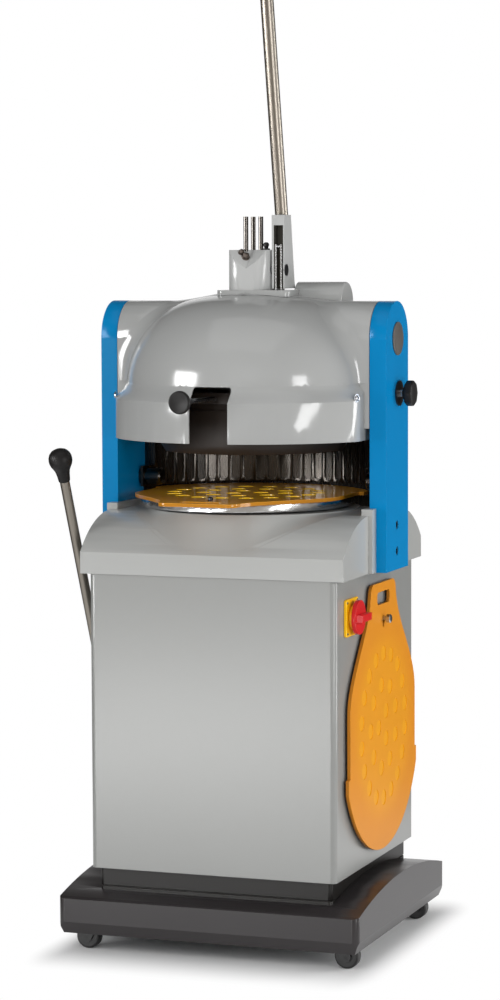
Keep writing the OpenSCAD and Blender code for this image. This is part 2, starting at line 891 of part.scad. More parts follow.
module plate_outline() {
    steps = 16;
    corner = 20;
    grip_web = 19;
    rise = [for (i = [0 : steps]) neck_from + (neck_to - neck_from) * i / steps];
    right = [for (v = rise) [neck_w(v), v]];
    left = [for (i = [steps : -1 : 0]) [-neck_w(rise[i]), rise[i]]];
    difference() {
        union() {
            intersection() {
                circle(plate_r, $fn = fine);
                translate([-plate_wing, -plate_r - eps]) square([2 * plate_wing, plate_r - plate_shoulder + eps]);
            }
            intersection() {
                polygon(concat([[plate_side, -plate_shoulder - eps]], right, left,
                               [[-plate_side, -plate_shoulder - eps]]));
                translate([-plate_r, -plate_r]) square([2 * plate_r, plate_r + plate_reach - corner]);
            }
            translate([0, plate_reach - 1.5 * corner]) rounded_rect(handle_half_w, 1.5 * corner, corner);
        }
        translate([0, plate_reach - grip_web - grip_slot_h / 2])
            rounded_rect(grip_slot_w / 2, grip_slot_h / 2, 8);
        translate([0, hang_slot_reach])
            rounded_rect(pin_r + hang_slack, hang_slot_len / 2, pin_r + hang_slack - 0.5);
    }
}

// The plate lies in the XY plane with its recesses on top and its handle towards +Y
module plate_blank() {
    difference() {
        linear_extrude(plate_t) plate_outline();
        for (row = [0 : len(cell_rows) - 1], i = [0 : cell_rows[row] - 1])
            rotate([0, 0, (i + 0.5) * 360 / cell_rows[row]])
                translate([(cell_edges[row] + cell_edges[row + 1]) / 2 + (row == 0 ? 4 : 0), 0, plate_t - recess_depth])
                    cylinder(r = recess_r, h = recess_depth + eps);
    }
}

module spare_plate() {
    color("#f0a21c")
    translate([wall_x + hook_spacer + seat, hook_y, hook_z + pin_r + seat - hang_slot_reach - hang_slot_len / 2])
        rotate([90, 0, 90]) plate_blank();
}

module rounding_plate() {
    color("#f0a21c")
    translate([-orbit, 0, plate_z]) rotate([0, 0, 180]) plate_blank();
}

module lock_place() {
    translate([0, lock_pin_y, lock_pin_z]) children();
}

module lock_bush() {
    color("#c4c6c8")
    lock_place()
        difference() {
            bar_along_x(bush_r, cheek_out_x, cheek_out_x + bush_t);
            bar_along_x(lock_pin_r + run, cheek_out_x - eps, cheek_out_x + bush_t + eps);
        }
}

module plunger_pin() {
    color("#c4c6c8")
    lock_place()
        bar_along_x(lock_pin_r, cheek_x + seat, cheek_out_x + bush_t + lock_pin_stroke + lock_pin_hold);
}

module plunger_knob() {
    face = cheek_out_x + bush_t + lock_pin_stroke + seat;
    rim = face + plunger_knob_t;
    chamfer = 4;
    color("#1d1d1f")
    lock_place()
        difference() {
            union() {
                bar_along_x(plunger_neck_r, face, face + plunger_neck_len + eps);
                translate([face + plunger_neck_len, 0, 0]) rotate([0, 90, 0])
                    cylinder(r1 = plunger_knob_r - chamfer, r2 = plunger_knob_r, h = chamfer);
                bar_along_x(plunger_knob_r, face + plunger_neck_len + chamfer, rim - chamfer);
                translate([rim - chamfer, 0, 0]) rotate([0, 90, 0])
                    cylinder(r1 = plunger_knob_r, r2 = plunger_knob_r - chamfer, h = chamfer);
            }
            bar_along_x(lock_pin_r + fit, face - eps, face + lock_pin_hold);
        }
}

module side_lever_place() {
    translate([-side_lever_x, side_pivot_y, side_pivot_z]) children();
}

module lever_boss() {
    color("#8d9093")
    translate([0, side_pivot_y, side_pivot_z])
        mirror([1, 0, 0])
            difference() {
                bar_along_x(side_boss_r, cabinet_hw, cabinet_hw + side_boss_t);
                bar_along_x(side_rod_r + run, cabinet_hw - eps, cabinet_hw + side_boss_t + eps);
            }
}

module rounding_lever() {
    inner = side_lever_x - cabinet_hw;
    color("#c2c4c6")
    side_lever_place() {
        bar_along_x(side_rod_r, -side_hub_r / 2, inner + cabinet_wall + 12);
        bar_along_x(side_hub_r, -side_hub_r / 2 - 2, inner - side_boss_t - seat);
        rotate([side_lever_lean, 0, 0]) cylinder(r = side_rod_r, h = side_lever_len + side_knob_hold);
    }
}

module rounding_knob() {
    neck_foot_r = side_rod_r + 1.5;
    ball_z = side_knob_len - side_knob_r;
    neck_top_r = 0.72 * side_knob_r;
    color("#1d1d1f")
    side_lever_place()
        rotate([side_lever_lean, 0, 0])
            translate([0, 0, side_lever_len])
                difference() {
                    union() {
                        cylinder(r1 = neck_foot_r, r2 = neck_top_r, h = ball_z - 0.6 * side_knob_r);
                        translate([0, 0, ball_z]) sphere(side_knob_r, $fn = 96);
                    }
                    translate([0, 0, -eps]) cylinder(r = side_rod_r + fit, h = side_knob_hold + seat + eps);
                }
}

// One castor: a swivel stem and fork, trailing along X on the given side
module castor_fork(sx, sy) {
    half_w = wheel_w / 2 + fork_gap;
    cheek_r = 11;
    trail_x = sx * castor_trail;
    color("#2b2b2e")
    translate([sx * castor_x, sy * castor_y, 0])
        difference() {
            union() {
                translate([0, 0, wheel_d + 4]) cylinder(r = stem_r, h = tray_top - wheel_d - 4);
                translate([0, 0, wheel_d + 4]) cylinder(r = 22, h = tray_z - seat - wheel_d - 4);
                for (side = [-1, 1])
                    translate([trail_x, side * (half_w + fork_t / 2), 0]) rotate([90, 0, 0])
                        linear_extrude(fork_t, center = true) {
                            translate([0, wheel_d / 2]) circle(cheek_r);
                            polygon([[-cheek_r, wheel_d / 2], [cheek_r, wheel_d / 2],
                                     [-trail_x + 20, wheel_d + 8], [-trail_x - 20, wheel_d + 8]]);
                        }
                translate([0, 0, wheel_d + 6]) cube([40, 2 * (half_w + fork_t), 4], center = true);
            }
            translate([trail_x, 0, wheel_d / 2]) rotate([90, 0, 0])
                cylinder(r = axle_r + run, h = 4 * half_w, center = true);
        }
}

module castor_wheel(sx, sy) {
    round = 5;
    color("#3a3a3d")
    translate([sx * (castor_x + castor_trail), sy * castor_y, wheel_d / 2]) rotate([90, 0, 0]) {
        rotate_extrude()
            union() {
                square([wheel_d / 2 - round, wheel_w / 2]);
                translate([0, -wheel_w / 2]) square([wheel_d / 2 - round, wheel_w / 2]);
                translate([0, -wheel_w / 2 + round]) square([wheel_d / 2, wheel_w - 2 * round]);
                for (side = [-1, 1])
                    translate([wheel_d / 2 - round, side * (wheel_w / 2 - round)]) circle(round);
            }
        cylinder(r = axle_r, h = wheel_w + 2 * (fork_t + fork_gap), center = true);
    }
}

module castor_fork_fl() { castor_fork(-1, -1); }
module castor_fork_fr() { castor_fork(1, -1); }
module castor_fork_rl() { castor_fork(-1, 1); }
module castor_fork_rr() { castor_fork(1, 1); }
module castor_wheel_fl() { castor_wheel(-1, -1); }
module castor_wheel_fr() { castor_wheel(1, -1); }
module castor_wheel_rl() { castor_wheel(-1, 1); }
module castor_wheel_rr() { castor_wheel(1, 1); }

// Half section of the hood: skirt, band, shoulder arc and crown arc, drawn in by a distance
module hood_section(inset) {
    low = hood_z - (inset > 0 ? eps : 0);
    shoulder_x = dome_r - dome_side_r;
    far = 2 * dome_top_r;
    polygon([[0, low], [hood_r - inset, low], [hood_r - inset, band_z],
             [hood_r - band_flare * band_step - inset, band_z + band_flare * band_step],
             [dome_r - inset, dome_z], [0, dome_z]]);
    intersection() {
        translate([0, dome_z - eps]) square([dome_r, dome_top]);
        union() {
            translate([shoulder_x, dome_z]) circle(dome_side_r - inset, $fn = fine);
            intersection() {
                translate([0, crown_z]) circle(dome_top_r - inset, $fn = fine);
                polygon([[0, crown_z], [shoulder_x, dome_z], [far * shoulder_x / (dome_z - crown_z), crown_z + far],
                         [0, crown_z + far]]);
            }
        }
    }
}

module hood_turned(inset) {
    translate([0, hood_back, 0]) rotate_extrude($fn = fine) hood_section(inset);
}

// What lies outside the round between the skirt's front and its flat sides, which it meets at a slight angle
module hood_corners(inset) {
    reach = hood_r - hood_corner_r;
    across = hood_hw - hood_corner_r;
    along = sqrt(reach * reach - across * across);
    out = 3 * hood_corner_r;
    for (side = [-1, 1])
        mirror([side < 0 ? 1 : 0, 0, 0])
            translate([across, hood_back - along, 0])
                linear_extrude(2 * dome_top) difference() {
                    polygon([[0, 0], [out * across / reach, -out * along / reach],
                             [out + out * across / reach, -out * along / reach], [out, 0]]);
                    circle(hood_corner_r + corner_lap - inset, $fn = fine);
                }
}

module hood_form(inset) {
    difference() {
        hood_block(inset);
        hood_corners(inset);
    }
}

module hood_block(inset) {
    side = hood_hw - inset;
    intersection() {
        hood_turned(inset);
        block([-side, -2 * hood_r, 0], [side, 2 * hood_r, 2 * dome_top]);
        union() {
            block([-2 * hood_r, -2 * hood_r, 0], [2 * hood_r, side_wall_y - inset, 2 * dome_top]);
            translate([0, 0, trunnion_z]) sphere(tail_r - inset, $fn = fine);
        }
    }
}

module hood() {
    slot_corner = 8;
    color("#b0b3b4")
    difference() {
        hood_form(0);
        hood_form(hood_wall);
        translate([0, -hood_r / 2, 0]) rotate([90, 0, 0]) linear_extrude(hood_r) {
            translate([0, (hood_z + slot_top) / 2])
                rounded_rect(slot_w / 2, (slot_top - hood_z) / 2, slot_corner);
            translate([-slot_w / 2, hood_z - eps]) square([slot_w, (slot_top - hood_z) / 2]);
        }
        crown_well(seat, dome_top - 60, dome_top + eps);
        translate([0, 0, trunnion_z]) bar_along_x(arm_r + seat, -hood_hw - eps, hood_hw + eps);
    }
}

// The fairing's side view: round over the trunnion, with straight sides down to its lower end
module fairing_profile(inset) {
    low = hood_z + fairing_lift + inset;
    r = fairing_r - inset;
    translate([-r, low]) square([2 * r, trunnion_z - low]);
    translate([0, trunnion_z]) circle(r, $fn = fine);
}

module head_fairings() {
    wall = 3;
    inner = hood_hw / 2;
    outer = cheek_x - fairing_gap;
    split = hood_hw + seat;
    color("#a9acad")
    for (side = [-1, 1])
        mirror([side < 0 ? 1 : 0, 0, 0]) {
            difference() {
                profile_along_x(inner, split) fairing_profile(0);
                profile_along_x(inner - eps, split + eps) fairing_profile(wall);
                hood_turned(-seat);
            }
            difference() {
                profile_along_x(split, outer) fairing_profile(0);
                profile_along_x(split - eps, outer - wall) fairing_profile(wall);
                translate([0, 0, trunnion_z]) bar_along_x(trunnion_r + fit, outer - 2 * wall, outer + eps);
                if (side > 0) lock_place() bar_along_x(lock_pin_r + lock_hole_gap, outer - 2 * wall, outer + eps);
            }
        }
}

module rod_places() {
    for (turn = rod_turns) rotate([0, 0, turn]) translate([rod_circle_r, 0, 0]) children();
}

module head_frame() {
    journal_x = cheek_out_x + seat;
    color("#5d6063")
    difference() {
        union() {
            block([-hub_hw, -hub_front, hub_z], [hub_hw, hub_back, flange_z - fit]);
            block([-bracket_hw, -bracket_reach, bracket_z], [bracket_hw, -hub_front + eps, bracket_z + bracket_h]);
            translate([0, 0, trunnion_z]) {
                bar_along_x(arm_r, -hood_hw, hood_hw);
                bar_along_x(trunnion_r, hood_hw, journal_x);
                bar_along_x(trunnion_r, -journal_x, -hood_hw);
            }
        }
        rod_places() translate([0, 0, hub_z - eps]) cylinder(r = rod_r + run, h = flange_z - hub_z + 2 * eps);
    }
}

module trunnion_discs() {
    disc_r = 34;
    disc_t = 3;
    inner = cheek_out_x + seat;
    color("#d5d7d9")
    for (side = [-1, 1])
        mirror([side < 0 ? 1 : 0, 0, 0])
            translate([0, 0, trunnion_z]) {
                bar_along_x(disc_r, inner, inner + disc_t - 1);
                translate([inner + disc_t - 1, 0, 0]) rotate([0, 90, 0]) cylinder(r1 = disc_r, r2 = disc_r - 1, h = 1);
            }
}

// The well in the dome's crown, where the flange reaches down to the head frame
module crown_well(gap, low, high) {
    block([-hub_hw - gap, -hub_front - gap, low], [arm_x + arm_w - 4 + gap, hub_back + gap, high]);
}

module top_flange() {
    color("#b0b3b4")
    difference() {
        translate([(flange_right - flange_left) / 2, (flange_back - flange_front) / 2, flange_z])
            linear_extrude(flange_t)
                rounded_rect((flange_left + flange_right) / 2, (flange_front + flange_back) / 2, 16);
        difference() {
            hood_turned(-seat);
            crown_well(0, flange_z - eps, dome_top + 2 * eps);
        }
        rod_places() translate([0, 0, flange_z - eps]) cylinder(r = rod_r + 1, h = flange_t + 2 * eps);
        block([bar_x - link_split / 2 - link_t - 1, link_y - 1, flange_z - eps],
              [bar_x + link_split / 2 + link_t + 1, link_y + link_d + 1, flange_top + eps]);
    }
}

module guide_block() {
    half_w = block_w / 2;
    far = 2 * block_w;
    color("#b0b3b4")
    difference() {
        translate([0, 0, flange_top])
            linear_extrude(block_h) {
                translate([-half_w, -block_front + block_corner_r])
                    square([block_w, block_front + block_back - block_corner_r]);
                translate([-half_w + block_corner_r, -block_front]) square([block_w - 2 * block_corner_r, block_corner_r]);
                for (side = [-1, 1])
                    translate([side * (half_w - block_corner_r), -block_front + block_corner_r]) circle(block_corner_r);
            }
        translate([0, -block_front, block_top - scoop_drop])
            rotate([scoop_lean, 0, 0])
                translate([0, far, 0]) rotate([90, 0, 0])
                    linear_extrude(2 * far)
                        polygon([[0, 0], [far, far * scoop_flank], [far, far], [-far, far], [-far, far * scoop_flank]]);
        rod_places() translate([0, 0, flange_top - eps]) cylinder(r = rod_r + run, h = block_h + 2 * eps);
        translate([0, pivot_y, pivot_z]) bar_along_x(pivot_r + run, half_w - 16, half_w + eps);
    }
}

// Half section of a round body with one rounded end
module round_end(r, len, round) {
    intersection() {
        square([r, len]);
        union() {
            square([r, len - round]);
            square([r - round, len]);
            translate([r - round, len - round]) circle(round);
        }
    }
}

module spring_housing() {
    color("#a9acad")
    difference() {
        translate([spring_x, spring_y, spring_z]) rotate([0, 90, 0])
            rotate_extrude() round_end(spring_r, spring_len, spring_round);
        translate([0, spring_y, spring_z])
            bar_along_x(spring_r - spring_wall, spring_x + spring_wall, spring_x + spring_len - spring_wall);
        hood_turned(-seat);
        translate([0, 0, trunnion_z]) bar_along_x(fairing_r + seat, 0, cheek_x);
        block([0, -flange_front, flange_z - eps], [flange_right + seat, flange_back + seat, flange_top + seat]);
    }
}

module ram_crosshead() {
    color("#7a7d80")
    difference() {
        union() {
            translate([0, 0, cross_z]) cylinder(r = cross_r, h = cross_t);
            translate([0, 0, press_plate_z + press_plate_t])
                cylinder(r = column_r, h = cross_z - press_plate_z - press_plate_t + eps);
            for (i = [0 : 2])
                rotate([0, 0, 30 + 120 * i])
                    translate([ring_post_at, 0, ring_top]) cylinder(r = ring_post_r, h = cross_z - ring_top + eps);
        }
        rod_places() translate([0, 0, cross_z]) cylinder(r = rod_r + fit, h = cross_t + eps);
    }
}

module guide_rods() {
    color("#bfc1c3")
    rod_places() translate([0, 0, cross_z]) cylinder(r = rod_r, h = rod_top - cross_z);
}

module press_links() {
    low = cross_z + cross_t;
    pin_r = 2.2;
    color("#cfd1d3")
    {
        for (side = [-1, 1])
            translate([bar_x + side * (link_split + link_t) / 2, link_y + link_d / 2, (low + link_top) / 2])
                cube([link_t, link_d, link_top - low], center = true);
        translate([0, link_y + link_d / 2, link_top - 4])
            bar_along_x(pin_r, bar_x - link_split / 2, bar_x + link_split / 2);
    }
}

module pressure_ring() {
    color("#2a211c")
    difference() {
        union() {
            translate([0, 0, ring_z]) cylinder(r1 = ring_r - ring_taper, r2 = ring_r, h = ring_foot_h);
            translate([0, 0, ring_z + ring_foot_h]) cylinder(r = ring_r, h = ring_h - ring_foot_h - ring_neck_h);
            translate([0, 0, ring_z + ring_foot_h]) cylinder(r = lock_ring_out_r, h = ring_h - ring_foot_h);
        }
        translate([0, 0, ring_z - eps]) cylinder(r = ring_in_r, h = ring_h - ring_lip_t + eps);
        translate([0, 0, ring_z]) cylinder(r = ring_lip_in_r, h = ring_h + eps);
    }
}

module press_plate() {
    color("#9a9da0")
    translate([0, 0, press_plate_z]) cylinder(r = ring_in_r - seat, h = press_plate_t);
}

// One cell of the dividing pattern, drawn in by a distance on every side
module cell(row, inset) {
    turn = 360 / cell_rows[row];
    in_r = cell_edges[row] + (row == 0 ? 0 : inset);
    out_r = cell_edges[row + 1] - inset;
    far = 3 * out_r;
    intersection() {
        difference() {
            circle(out_r);
            if (in_r > 0) circle(in_r);
        }
        polygon([[0, 0], far * [cos(0), sin(0)], far * [cos(turn / 2), sin(turn / 2)], far * [cos(turn), sin(turn)]]);
        rotate(turn / 2) translate([inset / sin(turn / 2), 0]) rotate(-turn / 2)
            polygon([[0, 0], far * [cos(0), sin(0)], far * [cos(turn / 2), sin(turn / 2)], far * [cos(turn), sin(turn)]]);
    }
}

module press_segments() {
    inset = knife_t / 2 + segment_gap;
    color("#d9d4c8")
    translate([0, 0, segment_z])
        for (row = [0 : len(cell_rows) - 1], i = [0 : cell_rows[row] - 1])
            rotate([0, 0, i * 360 / cell_rows[row]])
                linear_extrude(press_plate_z - segment_z) cell(row, inset);
}

module knife_grid() {
    h = press_plate_z - knife_z;
    color("#c9ccce")
    translate([0, 0, knife_z]) {
        for (row = [1, 2])
            ring(cell_edges[row] + knife_t / 2, cell_edges[row] - knife_t / 2, h);
        for (row = [0 : len(cell_rows) - 1], i = [0 : cell_rows[row] - 1])
            rotate([0, 0, i * 360 / cell_rows[row]])
                block([row == 0 ? 0 : cell_edges[row], -knife_t / 2, 0],
                      [cell_edges[row + 1] - (row == 2 ? seat : 0), knife_t / 2, h]);
    }
}

module lock_ring() {
    color("#38332f")
    difference() {
        translate([0, 0, lock_ring_z]) ring(lock_ring_out_r, lock_ring_in_r, lock_ring_h);
        lock_rod_place() translate([0, 0, lock_ring_in_r + 10]) cylinder(r = lock_rod_r + fit, h = lock_reach);
    }
}

// The locking handle points forwards, a little to the left
module lock_rod_place() {
    translate([0, 0, lock_z]) rotate([0, 0, -lock_turn]) rotate([90, 0, 0]) children();
}

module lock_rod() {
    color("#c4c6c8")
    lock_rod_place()
        translate([0, 0, lock_ring_in_r + 10]) cylinder(r = lock_rod_r, h = lock_reach - lock_ring_in_r - 10 + 12);
}

module lock_knob() {
    color("#1d1d1f")
    lock_rod_place()
        translate([0, 0, lock_reach])
            difference() {
                union() {
                    cylinder(r1 = lock_knob_r * 0.45, r2 = lock_knob_r * 0.7, h = lock_knob_len * 0.4);
                    translate([0, 0, lock_knob_len * 0.4])
                        cylinder(r1 = lock_knob_r * 0.7, r2 = lock_knob_r, h = lock_knob_len * 0.2);
                    translate([0, 0, lock_knob_len * 0.6]) cylinder(r = lock_knob_r, h = lock_knob_len * 0.3);
                    translate([0, 0, lock_knob_len * 0.9])
                        cylinder(r1 = lock_knob_r, r2 = lock_knob_r - 3, h = lock_knob_len * 0.1);
                }
                translate([0, 0, -eps]) cylinder(r = lock_rod_r + fit, h = 12 + eps);
            }
}

module bar_place() {
    translate([bar_x, bar_y, arm_top]) rotate([bar_lean, 0, 0]) children();
}

module lever_arm() {
    color("#b0b3b4")
    difference() {
        profile_along_x(arm_x, arm_x + arm_w)
            polygon([[-arm_front, arm_z], [arm_foot_back, arm_z], [arm_foot_back - 4, arm_z + 14],
                     [arm_head_back, arm_top], [-arm_front, arm_top]]);
        block([arm_x + arm_wall, -arm_front - eps, arm_z - eps],
              [arm_x + arm_w - arm_wall + 2, -recess_back, arm_recess_top]);
        translate([0, pivot_y, pivot_z]) {
            bar_along_x(pivot_r + fit, arm_x - eps, arm_x + arm_wall + eps);
            bar_along_x(pivot_cap_r + fit, arm_x + arm_w - arm_wall, arm_x + arm_w + eps);
        }
        bar_place() translate([0, 0, -spigot_len - seat]) cylinder(r = spigot_r + fit, h = 3 * spigot_len);
    }
}

module lever_pivot() {
    color("#5a5c5f")
    translate([0, pivot_y, pivot_z]) {
        bar_along_x(pivot_r, block_w / 2 - 15, arm_x + arm_wall);
        bar_along_x(pivot_cap_r, arm_x + arm_w - arm_wall + 2, arm_x + arm_w + 1);
    }
}

module lever_bar() {
    color("#d0d2d4")
    difference() {
        bar_place() {
            translate([0, 0, -spigot_len]) cylinder(r = spigot_r, h = 2 * spigot_len);
            translate([0, 0, -8]) cylinder(r = bar_r, h = bar_len + 8);
        }
        difference() {
            block([bar_x - 3 * bar_r, bar_y - 3 * bar_r, arm_top - 2 * spigot_len],
                  [bar_x + 3 * bar_r, bar_y + 3 * bar_r, arm_top + fit]);
            bar_place() translate([0, 0, -spigot_len - eps]) cylinder(r = spigot_r, h = 3 * spigot_len);
        }
    }
}

module lever_grip() {
    round = 10;
    color("#1d1d1f")
    bar_place()
        translate([0, 0, bar_len - grip_len / 2])
            difference() {
                rotate_extrude() round_end(grip_r, grip_len, round);
                translate([0, 0, -eps]) cylinder(r = bar_r + fit, h = grip_len / 2 + seat + eps);
            }
}

module crank_shaft() {
    low = pulley_z - 8;
    flange_low = housing_top + seat;
    flange_high = flange_low + crank_flange_t;
    color("#8a8d90")
    union() {
        translate([0, 0, low]) cylinder(r = crank_r, h = flange_low - low + eps);
        translate([0, 0, flange_low]) cylinder(r = crank_flange_r, h = crank_flange_t);
        translate([-orbit, 0, flange_high - eps]) cylinder(r = crank_r, h = table_z - flange_high);
    }
}

module crank_pulley() {
    groove = 4;
    color("#6f7275")
    translate([0, 0, pulley_z])
        difference() {
            union() {
                cylinder(r = pulley_r, h = pulley_h);
                cylinder(r = pulley_r + groove, h = 3);
                translate([0, 0, pulley_h - 3]) cylinder(r = pulley_r + groove, h = 3);
            }
            translate([0, 0, -eps]) cylinder(r = crank_r + fit, h = pulley_h + 2 * eps);
        }
}

module motor_pulley() {
    groove = 4;
    color("#6f7275")
    motor_place() {
        translate([0, 0, pulley_z]) {
            cylinder(r = motor_pulley_r, h = pulley_h);
            cylinder(r = motor_pulley_r + groove, h = 3);
            translate([0, 0, pulley_h - 3]) cylinder(r = motor_pulley_r + groove, h = 3);
        }
        translate([0, 0, motor_plate_z + seat]) cylinder(r = motor_shaft_r, h = pulley_z - motor_plate_z + 2);
    }
}

module table_disc() {
    hub_low = housing_top + seat + crank_flange_t + crank_pin_gap;
    color("#c9cbcd")
    difference() {
        union() {
            translate([-orbit, 0, table_z]) cylinder(r = table_r, h = table_t);
            translate([-orbit, 0, hub_low]) cylinder(r = hub_r, h = table_z - hub_low + eps);
        }
        translate([-orbit, 0, hub_low - eps]) cylinder(r = crank_r + run, h = table_z - hub_low + 2 * eps);
        translate([-orbit, -pin_reach, table_z + pin_foot]) cylinder(r = pin_r + fit, h = table_t);
    }
}

module table_pin() {
    out = 7;
    tip = 2;
    len = plate_top - table_z - pin_foot + out;
    color("#303236")
    translate([-orbit, -pin_reach, table_z + pin_foot]) {
        cylinder(r = pin_r, h = len - tip);
        translate([0, 0, len - tip]) cylinder(r1 = pin_r, r2 = pin_r - tip, h = tip);
    }
}

base_cover();
base_frame();
riser();
cabinet();
rear_panel();
machine_frame();
table_cover();
left_cheek();
right_cheek();
cheek_bolts();
rear_guard();
guard_stubs();
crank_housing();
drive_motor();
drive_belt();
switch_plate();
plate_hook();
spare_plate();
lock_bush();
lever_boss();
castor_fork_fl();
castor_fork_fr();
castor_fork_rl();
castor_fork_rr();
castor_wheel_fl();
castor_wheel_fr();
castor_wheel_rl();
castor_wheel_rr();
hood();
head_fairings();
head_frame();
top_flange();
guide_block();
spring_housing();
trunnion_discs();
ram_crosshead();
guide_rods();
press_links();
pressure_ring();
press_plate();
press_segments();
knife_grid();
lock_ring();
lock_rod();
lock_knob();
lever_arm();
lever_pivot();
lever_bar();
lever_grip();
plunger_pin();
plunger_knob();
rounding_lever();
rounding_knob();
crank_shaft();
crank_pulley();
table_disc();
table_pin();
rounding_plate();
motor_pulley();
switch_handle();
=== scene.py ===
import bpy
from math import cos, pi, radians, sin, sqrt
from mathutils import Matrix, Vector


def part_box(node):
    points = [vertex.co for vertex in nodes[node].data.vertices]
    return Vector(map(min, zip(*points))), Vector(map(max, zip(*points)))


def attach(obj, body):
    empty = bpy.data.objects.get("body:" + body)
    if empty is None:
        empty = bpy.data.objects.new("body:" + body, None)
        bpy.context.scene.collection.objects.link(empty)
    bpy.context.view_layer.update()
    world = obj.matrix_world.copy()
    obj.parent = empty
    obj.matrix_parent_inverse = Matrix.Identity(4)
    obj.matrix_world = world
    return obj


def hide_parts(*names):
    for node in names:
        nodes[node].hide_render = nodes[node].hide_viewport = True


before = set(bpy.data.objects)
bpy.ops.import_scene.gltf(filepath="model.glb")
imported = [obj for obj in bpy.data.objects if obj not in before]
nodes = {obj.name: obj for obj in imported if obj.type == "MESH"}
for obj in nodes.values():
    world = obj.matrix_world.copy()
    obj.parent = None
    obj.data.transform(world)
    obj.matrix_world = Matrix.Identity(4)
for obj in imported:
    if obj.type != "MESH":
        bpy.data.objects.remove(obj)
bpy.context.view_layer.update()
bpy.context.scene.view_settings.view_transform = "Standard"


# The four castors: pressed-steel forks, blackened, that swivel on a stem in the base frame.
# Each carries one moulded black polyamide wheel on a steel axle.
def linear(hex_colour):
    """An sRGB hex colour as linear RGBA."""
    parts = [int(hex_colour[i:i + 2], 16) / 255 for i in (1, 3, 5)]
    return tuple(p / 12.92 if p <= 0.04045 else ((p + 0.055) / 1.055) ** 2.4 for p in parts) + (1.0,)


def add(owner, kind, inputs=None, **settings):
    """One shader node with its settings, and its inputs set or linked."""
    node = owner.node_tree.nodes.new(kind)
    for key, value in settings.items():
        setattr(node, key, value)
    for key, value in (inputs or {}).items():
        if isinstance(value, bpy.types.NodeSocket):
            owner.node_tree.links.new(value, node.inputs[key])
        else:
            node.inputs[key].default_value = value
    return node


def link(owner, out, socket):
    """Joins a node's output to a socket of the shader."""
    owner.node_tree.links.new(out, socket)


def surface(name):
    """A new material with its shader, and its object coordinates in metres."""
    material = bpy.data.materials.new(name)
    material.use_nodes = True
    shader = material.node_tree.nodes["Principled BSDF"]
    place = add(material, "ShaderNodeTexCoord").outputs["Object"]
    return material, shader, place


def dress(material, names, edge=0.0):
    """Puts a material on CAD nodes, and breaks their sharp edges as a deburred or painted edge is."""
    for name in names:
        obj = nodes[name]
        obj.data.materials.clear()
        obj.data.materials.append(material)
        if edge:
            weld = obj.modifiers.new("join", "WELD")
            weld.merge_threshold = 0.00002
            flat = obj.modifiers.new("flat", "DECIMATE")
            flat.decimate_type = "DISSOLVE"
            flat.angle_limit = radians(0.2)
            bevel = obj.modifiers.new("edge", "BEVEL")
            bevel.width = edge
            bevel.segments = 2
            bevel.limit_method = "ANGLE"
            bevel.angle_limit = radians(40)
            bevel.harden_normals = True
            bevel.use_clamp_overlap = True


def moulded(name, dark, pale, rough, grain_mm, bump=0.15, shine=0.5):
    """A moulded or dipped skin: a slightly uneven colour and gloss, and a fine grain."""
    cloud_mm = 40.0
    grain_height = 0.0002
    glossier, duller = 0.05, 0.06
    material, shader, place = surface(name)
    cloud = add(material, "ShaderNodeTexNoise",
                {"Vector": place, "Scale": 1000.0 / cloud_mm, "Detail": 3.0})
    tint = add(material, "ShaderNodeMix",
               {"Factor": cloud.outputs["Fac"], "A": linear(dark), "B": linear(pale)}, data_type="RGBA")
    grain = add(material, "ShaderNodeTexNoise",
                {"Vector": place, "Scale": 1000.0 / grain_mm, "Detail": 2.0})
    rise = add(material, "ShaderNodeBump",
               {"Height": grain.outputs["Fac"], "Strength": bump, "Distance": grain_height})
    sheen = add(material, "ShaderNodeMapRange",
                {"Value": cloud.outputs["Fac"], "To Min": rough - glossier, "To Max": rough + duller})
    link(material, tint.outputs["Result"], shader.inputs["Base Color"])
    link(material, rise.outputs["Normal"], shader.inputs["Normal"])
    link(material, sheen.outputs["Result"], shader.inputs["Roughness"])
    shader.inputs["IOR"].default_value = 1.5
    shader.inputs["Specular IOR Level"].default_value = shine
    return material


castor_corners = ("fl", "fr", "rl", "rr")
# Every moulded or dipped skin has a grain finer than a millimetre on the real machine, drawn coarser to show
# Black polyamide, moulded: dull, with a scuffed grain
castor_polyamide = moulded("black_polyamide", "#0b0b0c", "#141415", rough=0.45, grain_mm=3.0, bump=0.3)
dress(castor_polyamide, ["castor_wheel_" + corner for corner in castor_corners])
# Black passivated steel, dipped: dark, half glossy, a little uneven
castor_black_steel = moulded("black_passivated_steel", "#0e0e0f", "#181819", rough=0.34, grain_mm=2.0,
                             bump=0.1)
dress(castor_black_steel, ["castor_fork_" + corner for corner in castor_corners], edge=0.0006)


# The base cover is a moulded shell with an arched top, sprayed charcoal black. The black riser stands in
# its opening and carries the cabinet, and an iron frame under the cover holds the castors.
def sprayed(name, colour, shade, rough, peel_mm, shine=0.5):
    """Sprayed enamel or powder coat: an orange-peel skin, with very faint clouds in its colour."""
    cloud_mm = 1000.0 / 3
    peel_height = 0.00003
    material, shader, place = surface(name)
    cloud = add(material, "ShaderNodeTexNoise",
                {"Vector": place, "Scale": 1000.0 / cloud_mm, "Detail": 2.0, "Roughness": 0.4})
    tint = add(material, "ShaderNodeMix",
               {"Factor": cloud.outputs["Fac"], "A": linear(shade), "B": linear(colour)}, data_type="RGBA")
    peel = add(material, "ShaderNodeTexNoise",
               {"Vector": place, "Scale": 1000.0 / peel_mm, "Detail": 1.0})
    rise = add(material, "ShaderNodeBump",
               {"Height": peel.outputs["Fac"], "Strength": 1.0, "Distance": peel_height})
    link(material, tint.outputs["Result"], shader.inputs["Base Color"])
    link(material, rise.outputs["Normal"], shader.inputs["Normal"])
    shader.inputs["Roughness"].default_value = rough
    shader.inputs["IOR"].default_value = 1.5
    shader.inputs["Specular IOR Level"].default_value = shine
    return material


